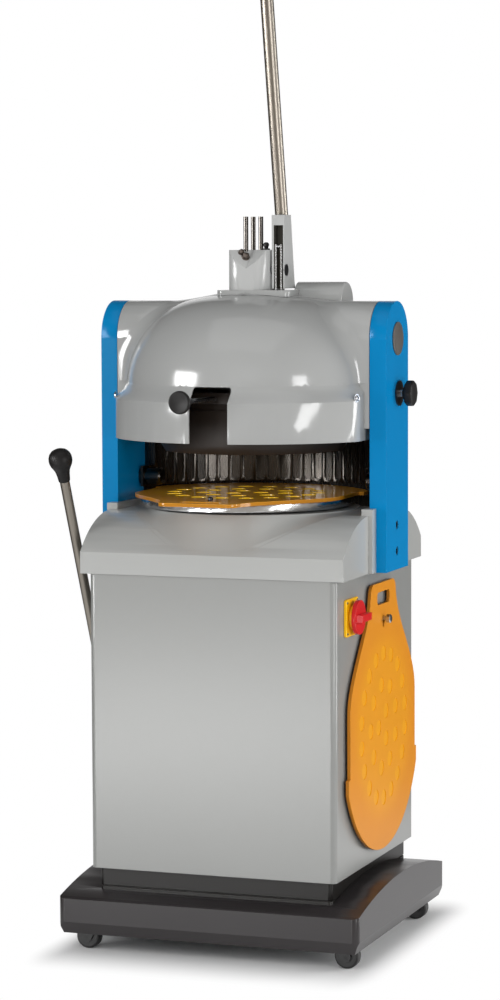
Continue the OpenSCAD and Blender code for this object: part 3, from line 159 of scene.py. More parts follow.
# Every sprayed coat's orange peel is about 2 mm across on the real machine, and drawn coarser to show
# Charcoal enamel: almost black, satin, with a soft sheen on the arched top
charcoal_enamel = sprayed("charcoal_enamel", "#302d2e", "#292627", rough=0.3, peel_mm=9.0, shine=0.36)
dress(charcoal_enamel, ["base_cover"], edge=0.0025)
# Black enamel: a little brown and duller than the cover
black_enamel = sprayed("black_enamel", "#161412", "#110f0e", rough=0.4, peel_mm=9.0, shine=0.3)
dress(black_enamel, ["riser"], edge=0.002)


def machined(name, pale, dark, rough, line_mm, along="Z", streak=12.0, metal=1.0):
    """Bare metal, with the lines of turning, grinding or drawing pulled out along one axis, if it has any."""
    cloud_mm = 1000.0 / 18
    line_height, line_bump = 0.0002, 0.08
    glossier, duller = 0.06, 0.08
    material, shader, place = surface(name)
    cloud = add(material, "ShaderNodeTexNoise",
                {"Vector": place, "Scale": 1000.0 / cloud_mm, "Detail": 3.0})
    tint = add(material, "ShaderNodeMix",
               {"Factor": cloud.outputs["Fac"], "A": linear(dark), "B": linear(pale)}, data_type="RGBA")
    link(material, tint.outputs["Result"], shader.inputs["Base Color"])
    shader.inputs["Metallic"].default_value = metal
    shader.inputs["Roughness"].default_value = rough
    if line_mm:
        stretch = [1.0, 1.0, 1.0]
        stretch["XYZ".index(along)] = 1.0 / streak
        lay = add(material, "ShaderNodeMapping", {"Vector": place, "Scale": stretch})
        lines = add(material, "ShaderNodeTexNoise",
                    {"Vector": lay.outputs["Vector"], "Scale": 1000.0 / line_mm, "Detail": 3.0})
        gloss = add(material, "ShaderNodeMapRange",
                    {"Value": lines.outputs["Fac"], "To Min": rough - glossier, "To Max": rough + duller})
        rise = add(material, "ShaderNodeBump",
                   {"Height": lines.outputs["Fac"], "Strength": line_bump, "Distance": line_height})
        link(material, gloss.outputs["Result"], shader.inputs["Roughness"])
        link(material, rise.outputs["Normal"], shader.inputs["Normal"])
    return material


# The lines on bare metal are half a millimetre apart or less on the real machine, and drawn coarser to show
# Cast iron and rolled steel inside the machine: grey, dull, with a coarse skin
grey_iron = machined("grey_iron", "#8a8d90", "#6c6f72", rough=0.5, line_mm=3.0, along="Y", streak=2.0)
dress(grey_iron, ["base_frame"])


# The cabinet is folded sheet steel, powder coated light grey, with rounded upright corners, round an iron
# frame. Its louvred rear panel is held by eight pan-head screws.
def only(obj):
    """Makes one object the only one selected, and the active one."""
    bpy.ops.object.select_all(action="DESELECT")
    bpy.context.view_layer.objects.active = obj
    obj.select_set(True)


def stand(obj, foot, axis):
    """Puts a mesh that was made upright at the origin on its foot, in millimetres, and along its axis."""
    lean = Vector(axis).normalized().to_track_quat("Z", "Y").to_matrix().to_4x4()
    obj.data.transform(Matrix.Translation(Vector(foot) / 1000) @ lean)


def assign(obj, material, body):
    """Gives a new piece its material and the body that it rides on."""
    obj.data.materials.append(material)
    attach(obj, body)


def turned(name, profile, foot, axis, material, body, turns=48, sharp=35):
    """A turned piece: a half section of (radius, height) in millimetres, spun about its axis."""
    mesh = bpy.data.meshes.new(name)
    points = [(r / 1000, 0, h / 1000) for r, h in profile]
    mesh.from_pydata(points, [(i, i + 1) for i in range(len(points) - 1)], [])
    obj = bpy.data.objects.new(name, mesh)
    bpy.context.scene.collection.objects.link(obj)
    only(obj)
    bpy.ops.object.mode_set(mode="EDIT")
    bpy.ops.mesh.select_all(action="SELECT")
    bpy.ops.mesh.spin(steps=turns, angle=2 * pi, center=(0, 0, 0), axis=(0, 0, 1))
    bpy.ops.mesh.select_all(action="SELECT")
    bpy.ops.mesh.remove_doubles(threshold=0.00001)
    bpy.ops.mesh.normals_make_consistent(inside=False)
    bpy.ops.object.mode_set(mode="OBJECT")
    bpy.ops.object.shade_smooth_by_angle(angle=radians(sharp))
    stand(obj, foot, axis)
    assign(obj, material, body)
    return obj


dress(grey_iron, ["machine_frame"])
# Light grey powder coat: satin, with a soft peel
grey_powder_coat = sprayed("light_grey_powder_coat", "#8d8e8c", "#8a8b89", rough=0.28, peel_mm=9.0)
dress(grey_powder_coat, ["cabinet", "rear_panel"], edge=0.0012)
# Zinc-plated screws: bright, slightly blue
zinc_plate = machined("zinc_plated_steel", "#c9ccd0", "#aeb1b6", rough=0.28, line_mm=1.0, streak=2.0)
pan_head = [(0, 3.2), (2.4, 3.0), (4.0, 2.3), (4.8, 1.1), (5.0, 0.0)]
panel_screw_x, panel_screw_heights, panel_face_y = 202, (250, 395, 540, 692), 264
panel_screw_spots = [(side * panel_screw_x, z) for side in (-1, 1) for z in panel_screw_heights]
for i, (x, z) in enumerate(panel_screw_spots):
    turned("panel_screw_%d" % i, pan_head, (x, panel_face_y, z), (0, 1, 0), zinc_plate, "machine",
           turns=24)


# The drive inside the cabinet: a finned motor, a rubber belt on two iron pulleys, and a ground crank shaft
# in its iron housing.
# Motor enamel: grey-blue and dull
motor_enamel = sprayed("motor_enamel", "#7f868e", "#757c84", rough=0.4, peel_mm=9.0)
dress(motor_enamel, ["drive_motor"])
# Belt rubber: black and matt, with a grain from the mould
belt_rubber = moulded("belt_rubber", "#141415", "#232324", rough=0.7, grain_mm=1.5, bump=0.3)
dress(belt_rubber, ["drive_belt"])
dress(grey_iron, ["crank_housing", "crank_pulley", "motor_pulley"])
# Ground steel: bright, with the lines of the grinding wheel
ground_steel = machined("ground_steel", "#c8cacd", "#b0b3b6", rough=0.24, line_mm=1.2, along="X", streak=10.0)
dress(ground_steel, ["crank_shaft"])


# The table cover is one moulded shell over the drive, sprayed the cabinet's grey: its top rounds down to an
# upright lip, a low collar rises under the table, and a shoe stands up round each cheek.
# Satin enamel: the cabinet's colour, half glossy
satin_enamel = sprayed("light_grey_satin_enamel", "#a6a7a5", "#a3a4a2", rough=0.26, peel_mm=12.0)
dress(satin_enamel, ["table_cover"], edge=0.0035)
cover_top, cover_arch_r, cover_arc_y = 0.891, 0.22, 0.1023
cover_half_width, cover_half_depth = 0.256, 0.259
collar_foot, collar_foot_r, collar_top, collar_top_r = 0.824, 0.252, 0.896, 0.218


def cover_height(y):
    """Height of the cover's skin at a distance in front of or behind the middle."""
    past = max(abs(y) - cover_arc_y, 0.0)
    return cover_top - cover_arch_r + sqrt(cover_arch_r ** 2 - past ** 2)


def collar_height(r):
    """Height of the collar's cone at a radius."""
    return collar_foot + (collar_foot_r - r) / (collar_foot_r - collar_top_r) * (collar_top - collar_foot)


def collar_meets_cover(turn):
    """Radius at which the collar's cone runs into the cover, found by halving."""
    halvings = 40
    low, high = collar_top_r, collar_foot_r
    for _ in range(halvings):
        mid = (low + high) / 2
        if collar_height(mid) > cover_height(mid * sin(turn)):
            low = mid
        else:
            high = mid
    return low


def hollow_curve(start, corner, end, steps):
    """Points on the curve that leaves one face, passes the corner and runs out along the other face."""
    points = []
    for k in range(steps + 1):
        t = k / steps
        points.append([(1 - t) ** 2 * a + 2 * t * (1 - t) * b + t * t * c
                       for a, b, c in zip(start, corner, end)])
    return points


def strip(name, rows, closed, material, body):
    """A skin through rows of points, in metres, shaded smooth."""
    across = len(rows[0])
    faces = []
    for i in range(len(rows) if closed else len(rows) - 1):
        j = (i + 1) % len(rows)
        for k in range(across - 1):
            faces.append((i * across + k, j * across + k, j * across + k + 1, i * across + k + 1))
    mesh = bpy.data.meshes.new(name)
    mesh.from_pydata([p for row in rows for p in row], [], faces)
    mesh.polygons.foreach_set("use_smooth", [True] * len(faces))
    obj = bpy.data.objects.new(name, mesh)
    bpy.context.scene.collection.objects.link(obj)
    assign(obj, material, body)
    return obj


# The moulded hollow between collar and cover, tangent to both, lies a tenth of a millimetre over them
hollow_skin = 0.0001
hollow_on_cover, hollow_on_collar, collar_rim = 0.03, 0.026, 0.0004
collar_rows, collar_steps, narrow = 180, 16, 0.01
rows = []
for step in range(collar_rows):
    turn = 2 * pi * step / collar_rows
    r_meet = collar_meets_cover(turn)
    r_out = min(r_meet + hollow_on_cover,
                cover_half_width / max(abs(cos(turn)), narrow),
                cover_half_depth / max(abs(sin(turn)), narrow))
    r_in = max(r_meet - hollow_on_collar, collar_top_r + collar_rim)
    curve = hollow_curve((r_in, collar_height(r_in)), (r_meet, collar_height(r_meet)),
                         (r_out, cover_height(r_out * sin(turn))), collar_steps)
    rows.append([(r * cos(turn), r * sin(turn), z + hollow_skin) for r, z in curve])
strip("collar_hollow", rows, True, satin_enamel, "machine")


# The two cheeks are thick steel plates with round tops, stove enamelled blue, each held by two socket bolts.
# A steel disc covers each trunnion's end.
# Blue stove enamel: strong blue, smooth, with little shine
blue_enamel = sprayed("blue_stove_enamel", "#007fba", "#007bb5", rough=0.24, peel_mm=12.0, shine=0.12)
dress(blue_enamel, ["left_cheek", "right_cheek"], edge=0.003)
# Black-oxide steel: dark, oily, half glossy
black_oxide = machined("black_oxide_steel", "#4a4c50", "#36383b", rough=0.34, line_mm=1.0, along="X",
                       streak=2.0)
dress(black_oxide, ["cheek_bolts"])
# Trunnion discs: dull steel, mottled in patches about a centimetre wide
mottled_steel = machined("mottled_steel", "#77726e", "#4d4a48", rough=0.4, line_mm=9.0, along="Y", streak=1.5,
                         metal=0.4)
dress(mottled_steel, ["trunnion_discs"], edge=0.0008)


# The rear guard is a half ring of dark stainless sheet with upright flutes, hung on two hard-chromed stubs.
# An apron of the same sheet hangs from its foot band down to the cover, and a folded plate closes each end
# to the cheek.
# Dark stainless steel: half a mirror, with drawing lines from top to bottom
dark_stainless = machined("dark_stainless_steel", "#5c5854", "#494541", rough=0.27, line_mm=4.0, streak=16.0)
dress(dark_stainless, ["rear_guard"], edge=0.0006)
# Worn hard chrome: a dull mirror that takes the tone of the room, with drawing lines along the bar
hard_chrome = machined("worn_hard_chrome", "#625f5c", "#504d4a", rough=0.22, line_mm=3.0, streak=20.0)
dress(hard_chrome, ["guard_stubs"])
apron_in_r, apron_out_r = 0.2773, 0.2797
apron_from, apron_to, apron_steps = 13.2, 166.8, 74
apron_foot, apron_clear = 0.869, 0.0027
# The apron reaches higher at its two ends than behind the table
apron_top, apron_end_top, apron_end_y = 0.904, 0.9305, 0.112
apron_rows = []
for step in range(apron_steps + 1):
    turn = radians(apron_from + step * (apron_to - apron_from) / apron_steps)
    behind = (apron_in_r + apron_out_r) / 2 * sin(turn)
    top = apron_top if behind > apron_end_y else apron_end_top
    foot = max(cover_height(behind) + apron_clear, apron_foot)
    section = ((apron_in_r, foot), (apron_out_r, foot), (apron_out_r, top), (apron_in_r, top),
               (apron_in_r, foot))
    apron_rows.append([(r * cos(turn), r * sin(turn), z) for r, z in section])
apron = strip("guard_apron", apron_rows, False, dark_stainless, "machine")
only(apron)
bpy.ops.object.mode_set(mode="EDIT")
bpy.ops.mesh.select_all(action="SELECT")
bpy.ops.mesh.remove_doubles(threshold=0.00001)
bpy.ops.mesh.fill_holes(sides=0)
bpy.ops.mesh.normals_make_consistent(inside=False)
bpy.ops.object.mode_set(mode="OBJECT")
bpy.ops.object.shade_smooth_by_angle(angle=radians(35))


def round_edges(width, segments):
    """Rounds every edge of the active object, by a width in metres."""
    bpy.ops.object.mode_set(mode="EDIT")
    bpy.ops.mesh.select_all(action="SELECT")
    bpy.ops.mesh.bevel(offset=width, segments=segments, affect="EDGES")
    bpy.ops.object.mode_set(mode="OBJECT")


hands = ((-1, "left"), (1, "right"))
end_plate_size, end_plate_edge = (0.032, 0.003, 0.095), 0.0006
end_plate_x, end_plate_y, end_plate_z = 0.268, 0.0945, 0.9785
for side, hand in hands:
    bpy.ops.object.select_all(action="DESELECT")
    bpy.ops.mesh.primitive_cube_add(size=1, location=(side * end_plate_x, end_plate_y, end_plate_z))
    end_plate = bpy.context.object
    end_plate.name = "guard_end_" + hand
    end_plate.scale = end_plate_size
    bpy.ops.object.transform_apply(location=True, scale=True)
    round_edges(end_plate_edge, segments=2)
    assign(end_plate, dark_stainless, "machine")


# The table is a turned aluminium disc, and the rounding plate lies on it, located by a pin. Plate and spare
# plate are sawn from orange plastic with shallow dough recesses, and the spare one hangs on a steel hook.
# Turned aluminium: pale and bright, with fine marks of the tool
turned_aluminium = machined("turned_aluminium", "#d6d8da", "#c6c8ca", rough=0.2, line_mm=0.8, streak=1.0)
dress(turned_aluminium, ["table_disc"], edge=0.0008)
dress(black_oxide, ["table_pin"])
dress(ground_steel, ["plate_hook"])


def plate_plastic(name, across, face, centre, tones, rough, shine):
    """Orange plastic in three tones: the face, its recesses and the sawn edge, whose darker tone is a painted
    shade.
    """
    face_tone, recess_tone, edge_shade_tone = tones
    cloud_mm, cloud_low = 50.0, 0.94
    ripple_mm, ripple_height = 10.0, 0.00003
    recess_depth, field_r = 0.0005, 0.205
    glow_from_r, glow_to_r, glow_share = 0.15, 0.21, 0.5
    material, shader, place = surface(name)
    cloud = add(material, "ShaderNodeTexNoise",
                {"Vector": place, "Scale": 1000.0 / cloud_mm, "Detail": 2.0})
    tint = add(material, "ShaderNodeMapRange",
               {"Value": cloud.outputs["Fac"], "To Min": cloud_low, "To Max": 1.0})
    parts = add(material, "ShaderNodeSeparateXYZ", {"Vector": place})
    deep = add(material, "ShaderNodeMath",
               {0: parts.outputs[across], 1: face - recess_depth}, operation="LESS_THAN")
    away = add(material, "ShaderNodeVectorMath", {0: place, 1: centre}, operation="DISTANCE")
    inside = add(material, "ShaderNodeMath", {0: away.outputs["Value"], 1: field_r}, operation="LESS_THAN")
    recess = add(material, "ShaderNodeMath",
                 {0: deep.outputs["Value"], 1: inside.outputs["Value"]}, operation="MULTIPLY")
    edge = add(material, "ShaderNodeMath",
               {0: deep.outputs["Value"], 1: recess.outputs["Value"]}, operation="SUBTRACT")
    glow = add(material, "ShaderNodeMapRange",
               {"Value": away.outputs["Value"], "From Min": glow_from_r, "From Max": glow_to_r,
                "To Min": glow_share, "To Max": 0.0}, interpolation_type="SMOOTHSTEP")
    yellow = add(material, "ShaderNodeMath",
                 {0: glow.outputs["Result"], 1: recess.outputs["Value"]}, operation="MAXIMUM")
    warm = add(material, "ShaderNodeMix",
               {"Factor": yellow.outputs["Value"], "A": linear(face_tone), "B": linear(recess_tone)},
               data_type="RGBA")
    # Painted shade: the sawn edge takes the darker edge tone
    sawn = add(material, "ShaderNodeMix",
               {"Factor": edge.outputs["Value"], "A": warm.outputs["Result"], "B": linear(edge_shade_tone)},
               data_type="RGBA")
    colour = add(material, "ShaderNodeMix",
                 {"Factor": 1.0, "A": sawn.outputs["Result"], "B": tint.outputs["Result"]},
                 data_type="RGBA", blend_type="MULTIPLY")
    ripple = add(material, "ShaderNodeTexNoise",
                 {"Vector": place, "Scale": 1000.0 / ripple_mm, "Detail": 1.0})
    rise = add(material, "ShaderNodeBump",
               {"Height": ripple.outputs["Fac"], "Strength": 1.0, "Distance": ripple_height})
    link(material, colour.outputs["Result"], shader.inputs["Base Color"])
    link(material, rise.outputs["Normal"], shader.inputs["Normal"])
    shader.inputs["Roughness"].default_value = rough
    shader.inputs["IOR"].default_value = 1.5
    shader.inputs["Specular IOR Level"].default_value = shine
    return material


table_plate_low, table_plate_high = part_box("rounding_plate")
table_plate_middle = ((table_plate_low[0] + table_plate_high[0]) / 2, 0, table_plate_high[2])
# Orange polyethylene: wet-looking, with ripples about a centimetre wide. Its tones are painted lighter than
# the spare plate's, a painted light on the plate in the shade of the hood
table_plate_lit_plastic = plate_plastic("orange_polyethylene_table_painted_light", "Z", table_plate_high[2], table_plate_middle,
                                    ("#ffb53c", "#ffd21e", "#bd7c1a"), rough=0.14, shine=0.5)
dress(table_plate_lit_plastic, ["rounding_plate"], edge=0.0008)
spare_low, spare_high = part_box("spare_plate")
spare_disc_r = 0.255
spare_middle = (spare_high[0], (spare_low[1] + spare_high[1]) / 2, spare_low[2] + spare_disc_r)
# The same plastic on the spare plate, duller with use and without the table plate's painted light; its
# recesses face outwards
spare_plate_plastic = plate_plastic("orange_polyethylene_spare", "X", spare_high[0], spare_middle,
                                    ("#d6881a", "#e29b12", "#b06e1c"), rough=0.42, shine=0.2)
dress(spare_plate_plastic, ["spare_plate"], edge=0.0008)


# The main switch: a square yellow plate with a red turning handle, both moulded from polycarbonate.
# Four small screws hold the plate to the cabinet's right side.
# Yellow and red polycarbonate: strong colours, half glossy, almost without grain
yellow_polycarbonate = moulded("yellow_polycarbonate", "#f5b800", "#fcc308", rough=0.3, grain_mm=1.2,
                               bump=0.08)
dress(yellow_polycarbonate, ["switch_plate"], edge=0.001)
red_polycarbonate = moulded("red_polycarbonate", "#c41217", "#d41a1e", rough=0.28, grain_mm=1.2, bump=0.08)
dress(red_polycarbonate, ["switch_handle"], edge=0.0015)
switch_y, switch_z, switch_plate_thick, switch_screw_reach = -172.5, 695, 6, 31
switch_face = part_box("switch_plate")[0][0] * 1000 + switch_plate_thick
cup_head = [(0, 0.5), (1.2, 0.5), (1.3, 1.2), (2.2, 1.1), (2.9, 0.6), (3.1, 0)]
for i, (to_y, to_z) in enumerate([(-1, -1), (-1, 1), (1, -1), (1, 1)]):
    spot = (switch_face, switch_y + to_y * switch_screw_reach, switch_z + to_z * switch_screw_reach)
    turned("switch_screw_%d" % i, cup_head, spot, (1, 0, 0), black_oxide, "machine", turns=24)


# The rounding lever at the left: a chromed steel rod that swings in a boss on the cabinet. Its black knob is
# moulded from phenolic and pressed on.
# Chrome plate: smooth, a little warm, its mirror dulled by handling
chrome_plate = machined("chrome_plate", "#938d84", "#807a72", rough=0.36, line_mm=0)
dress(chrome_plate, ["rounding_lever"])
dress(hard_chrome, ["lever_boss"])
# Black phenolic, moulded: dark grey, silky, with little shine
black_phenolic = moulded("black_phenolic", "#161515", "#1d1c1c", rough=0.46, grain_mm=3.0, bump=0.04,
                         shine=0.2)
side_lean, side_pivot, side_reach = radians(24), (-304, -100, 548), 454
side_axis = (0, -sin(side_lean), cos(side_lean))
side_foot = [p + side_reach * a for p, a in zip(side_pivot, side_axis)]
side_knob = turned("rounding_knob_moulded",
                   [(10.05, 0), (11.4, 0.3), (11.9, 2), (13.2, 14), (15.2, 24), (18.6, 31), (21.8, 37),
                    (23.6, 43), (24.0, 48), (23.4, 54), (21.2, 60), (17.0, 65.2), (11.0, 68.6), (5.0, 69.8),
                    (0, 70)],
                   side_foot, side_axis, black_phenolic, "side_lever", turns=64, sharp=60)
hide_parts("rounding_knob")


# The press head: a moulded grey hood with a stepped skirt, fairings round the trunnions, a spring housing,
# and a cast guide block with three rods on a flange. An iron frame inside carries it on the trunnions.
# Gloss enamel: the cabinet's grey, wet-looking, which shows lamps as sharp-edged squares
grey_enamel = sprayed("light_grey_gloss_enamel", "#a4a5a4", "#a2a3a2", rough=0.13, peel_mm=12.0)
dress(grey_enamel, ["hood"], edge=0.003)
dress(grey_enamel, ["head_fairings", "top_flange", "spring_housing"], edge=0.0025)
dress(grey_iron, ["head_frame"])
dress(hard_chrome, ["guide_rods"])
# The castings on top carry a paler coat of the same enamel; the recess of the lever arm is painted darker, a
# painted shade
cast_enamel = sprayed("pale_grey_cast_enamel", "#b9bab9", "#b4b5b4", rough=0.2, peel_mm=8.0)
# Painted shade: a dark tone inside the lever arm's recess, where shade falls
recess_shade_tone = "#46443e"
recess_middle, recess_half = (0.0635, -0.0095, 1.4095), (0.0101, 0.0162, 0.0645)
cast_shader = cast_enamel.node_tree.nodes["Principled BSDF"]
cast_tint = cast_shader.inputs["Base Color"].links[0].from_socket
cast_place = add(cast_enamel, "ShaderNodeTexCoord").outputs["Object"]
off = add(cast_enamel, "ShaderNodeVectorMath", {0: cast_place, 1: recess_middle}, operation="SUBTRACT")
off = add(cast_enamel, "ShaderNodeVectorMath", {0: off.outputs["Vector"]}, operation="ABSOLUTE")
room = add(cast_enamel, "ShaderNodeVectorMath", {0: recess_half, 1: off.outputs["Vector"]},
           operation="SUBTRACT")
room = add(cast_enamel, "ShaderNodeSeparateXYZ", {"Vector": room.outputs["Vector"]})
least = add(cast_enamel, "ShaderNodeMath", {0: room.outputs["X"], 1: room.outputs["Y"]}, operation="MINIMUM")
least = add(cast_enamel, "ShaderNodeMath", {0: least.outputs["Value"], 1: room.outputs["Z"]},
            operation="MINIMUM")
in_recess = add(cast_enamel, "ShaderNodeMath", {0: least.outputs["Value"], 1: 0.0}, operation="GREATER_THAN")
# Painted shade: the enamel takes the dark tone inside the recess
greased = add(cast_enamel, "ShaderNodeMix",
              {"Factor": in_recess.outputs["Value"], "A": cast_tint, "B": linear(recess_shade_tone)},
              data_type="RGBA")
link(cast_enamel, greased.outputs["Result"], cast_shader.inputs["Base Color"])
dress(cast_enamel, ["lever_arm", "guide_block"], edge=0.0025)
dome_ring_r, dome_shoulder_r, dome_shoulder_z = 0.096, 0.174, 1.153
dome_crown_r, dome_crown_z, dome_join_z, dome_middle_y = 0.62, 0.71745, 1.3229, 0.023


def dome_radius(z):
    """Plan radius of the dome at a height, on its shoulder or on its flatter crown."""
    if z < dome_join_z:
        return dome_ring_r + sqrt(dome_shoulder_r ** 2 - (z - dome_shoulder_z) ** 2)
    return sqrt(max(dome_crown_r ** 2 - (z - dome_crown_z) ** 2, 0))


def dome_reach(y, z):
    """How far from the middle a line along X meets the dome."""
    return sqrt(max(dome_radius(z) ** 2 - (y - dome_middle_y) ** 2, 0))


# The moulded hollow where each fairing runs into the dome: up the straight front, then over the round top
fairing_r, fairing_end, trunnion_z, band_top = 0.076, 0.2724, 1.244, 1.156
hollow_most, hollow_least, fairing_rim = 0.03, 0.002, 0.001
front_steps, top_steps, hollow_steps = 12, 60, 12
hollow_path = []
for step in range(front_steps):
    hollow_path.append((-fairing_r, band_top + step * (trunnion_z - band_top) / front_steps, -1, 0))
for step in range(top_steps + 1):
    turn = radians(90 - 180 / top_steps * step)
    hollow_path.append((-fairing_r * sin(turn), trunnion_z + fairing_r * cos(turn), -sin(turn), cos(turn)))
for side, hand in hands:
    rows = []
    for y, z, out_y, out_z in hollow_path:
        reach = dome_reach(y, z)
        size = min(hollow_most, fairing_end - reach - fairing_rim)
        if size < hollow_least:
            continue
        far_y, far_z = y + out_y * size, z + out_z * size
        curve = hollow_curve((reach + size, y, z), (reach, y, z), (dome_reach(far_y, far_z), far_y, far_z),
                             hollow_steps)
        rows.append([(side * px, py + hollow_skin * out_y, pz + hollow_skin * out_z) for px, py, pz in curve])
    strip("fairing_hollow_" + hand, rows, False, grey_enamel, "head")

# A socket screw in a turned cup at each rounded corner of the hood's band
socket_head = [(0, 1.6), (2.4, 1.6), (2.6, 4.0), (3.6, 4.2), (5.2, 3.4), (6.2, 1.8), (6.4, 0.4), (8.4, 0.4),
               (8.8, 0.0)]
hood_screw_x, hood_screw_y, hood_screw_z = 259.7, -116.2, 1128
hood_screw_out, hood_screw_ahead = 0.966, -0.259
for side, hand in hands:
    turned("hood_screw_" + hand, socket_head, (side * hood_screw_x, hood_screw_y, hood_screw_z),
           (side * hood_screw_out, hood_screw_ahead, 0), zinc_plate, "head", turns=32)


# The guide block's fastenings: two forged hex bolts on washers in the scooped front, and a black ball oiler
# pressed in on top.
def hex_bolt(name, foot, axis, across_mm, material, body):
    """A hexagon bolt head, half as tall as it is wide, with its edges broken, on its washer."""
    height_mm, edge = across_mm * 0.5, 0.0009
    washer_mm, washer_rim_mm = 1.6, 1.1
    washer_flat_r, washer_r = across_mm * 0.6, across_mm * 0.66
    bpy.ops.object.select_all(action="DESELECT")
    bpy.ops.mesh.primitive_cylinder_add(vertices=6, radius=across_mm / sqrt(3) / 1000, depth=height_mm / 1000,
                                        location=(0, 0, (washer_mm + height_mm / 2) / 1000))
    obj = bpy.context.object
    obj.name = name
    bpy.ops.object.transform_apply(location=True)
    round_edges(edge, segments=2)
    bpy.ops.object.shade_smooth_by_angle(angle=radians(35))
    stand(obj, foot, axis)
    assign(obj, material, body)
    turned(name + "_washer",
           [(0, washer_mm), (washer_flat_r, washer_mm), (washer_r, washer_rim_mm), (washer_r, 0.0)],
           foot, axis, material, body, turns=32)


# Bolt steel: plain and browned by grease
bolt_steel = machined("greased_bolt_steel", "#8a807a", "#5d5652", rough=0.3, line_mm=2.0, streak=2.0)
scoop_slope, scoop_flank, block_front, scoop_foot = radians(46), 0.46, -45, 1385.95
flank_out = (scoop_flank, -sin(scoop_slope), cos(scoop_slope))
for name, x, climb, across in (("scoop_bolt_low", -7.5, 29.0, 13), ("scoop_bolt_high", -17.5, 37.0, 10)):
    bolt_y = block_front + climb * cos(scoop_slope) + scoop_flank * x * sin(scoop_slope)
    bolt_z = scoop_foot + climb * sin(scoop_slope) - scoop_flank * x * cos(scoop_slope)
    hex_bolt(name, (x, bolt_y, bolt_z), flank_out, across, bolt_steel, "head")
# Oiler cap: black moulded plastic, shiny
oiler_plastic = moulded("black_oiler_cap", "#121213", "#1a1a1b", rough=0.25, grain_mm=3.0, bump=0.04)
oiler_foot = (30, -6, 1423.95)
turned("ball_oiler",
       [(0, 15.6), (3.0, 15.2), (5.3, 13.3), (6.2, 10.5), (5.7, 7.8), (4.3, 5.9), (4.3, 3.2), (7.4, 2.8),
        (8.0, 1.8), (8.0, 0)],
       oiler_foot, (0, 0, 1), oiler_plastic, "head", turns=32, sharp=50)


# The press under the hood: an enamelled ring round the ground knives and the white press segments, on an
# aluminium plate and an iron crosshead. A locking ring on top carries a handle through the hood's slot.
# Bronze-brown enamel: dark and dull
ring_enamel = sprayed("bronze_brown_enamel", "#2a231f", "#231d19", rough=0.45, peel_mm=9.0, shine=0.3)
dress(ring_enamel, ["pressure_ring", "lock_ring"], edge=0.0012)
# White polyethylene: warm white, waxy
white_polyethylene = moulded("white_polyethylene", "#d8d3c6", "#e2ddd0", rough=0.4, grain_mm=2.0, bump=0.1)
dress(white_polyethylene, ["press_segments"])
dress(ground_steel, ["knife_grid", "lock_rod"])
dress(turned_aluminium, ["press_plate"], edge=0.0008)
dress(grey_iron, ["ram_crosshead"])
lock_turn, lock_z, lock_knob_reach, lock_sleeve_reach = radians(4.5), 1127.3, 330, 301.5
lock_axis = (-sin(lock_turn), -cos(lock_turn), 0)
lock_knob = turned("lock_knob_moulded",
                   [(5.05, 0), (8.4, 0.2), (9.0, 0.9), (9.8, 5), (12.2, 11.5), (15.8, 16.4), (20.0, 19.6),
                    (22.2, 21.0), (23.0, 22.6), (23.0, 27.0), (22.5, 28.6), (21.2, 29.7), (19.4, 30.0),
                    (18.6, 29.6), (0, 29.4)],
                   (lock_knob_reach * lock_axis[0], lock_knob_reach * lock_axis[1], lock_z), lock_axis,
                   black_phenolic, "lock", turns=64, sharp=50)
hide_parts("lock_knob")
turned("lock_sleeve",
       [(5.02, 0), (5.3, 0.1), (5.6, 0.8), (7.6, 26.0), (7.8, 27.2), (7.4, 28.0), (5.02, 28.0)],
       (lock_sleeve_reach * lock_axis[0], lock_sleeve_reach * lock_axis[1], lock_z), lock_axis,
       zinc_plate, "lock")


# The press lever: a long chrome-plated steel bar in the cast arm, which turns on a steel pivot and drives
# the ground link bars, with a ribbed rubber grip pushed on its end.
dress(chrome_plate, ["lever_bar"])
dress(black_oxide, ["lever_pivot"])
dress(ground_steel, ["press_links"])
# Grip rubber: black, dull, with a grain from the mould
grip_rubber = moulded("grip_rubber", "#151516", "#202021", rough=0.6, grain_mm=1.5, bump=0.3)
bar_lean, bar_foot, bar_r, grip_low = radians(11.2), (62.5, -3, 1494.95), 13.5, 489
bar_way = (0, -sin(bar_lean), cos(bar_lean))
grip_len, grip_r, grip_groove_r, grip_mouth = 122, 17, 15.6, 0.05
rib_count, rib_first, rib_step = 12, 5, 8
grip_profile = [(bar_r + grip_mouth, 0), (14.6, 0.2), (grip_groove_r, 1.2)]
for rib in range(rib_count):
    start = rib_first + rib_step * rib
    grip_profile += [(grip_groove_r, start), (16.6, start + 1.2), (16.9, start + 3.0), (16.6, start + 4.8),
                     (grip_groove_r, start + 6.0)]
grip_profile += [(grip_groove_r, 104), (16.8, 105.4), (grip_r, 108), (16.6, 113), (14.6, 117.6),
                 (10.6, 120.6), (5.4, 121.8), (0, grip_len)]
lever_grip = turned("lever_grip_ribbed", grip_profile, [f + grip_low * w for f, w in zip(bar_foot, bar_way)],
                    bar_way, grip_rubber, "lever", sharp=50)
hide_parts("lever_grip")


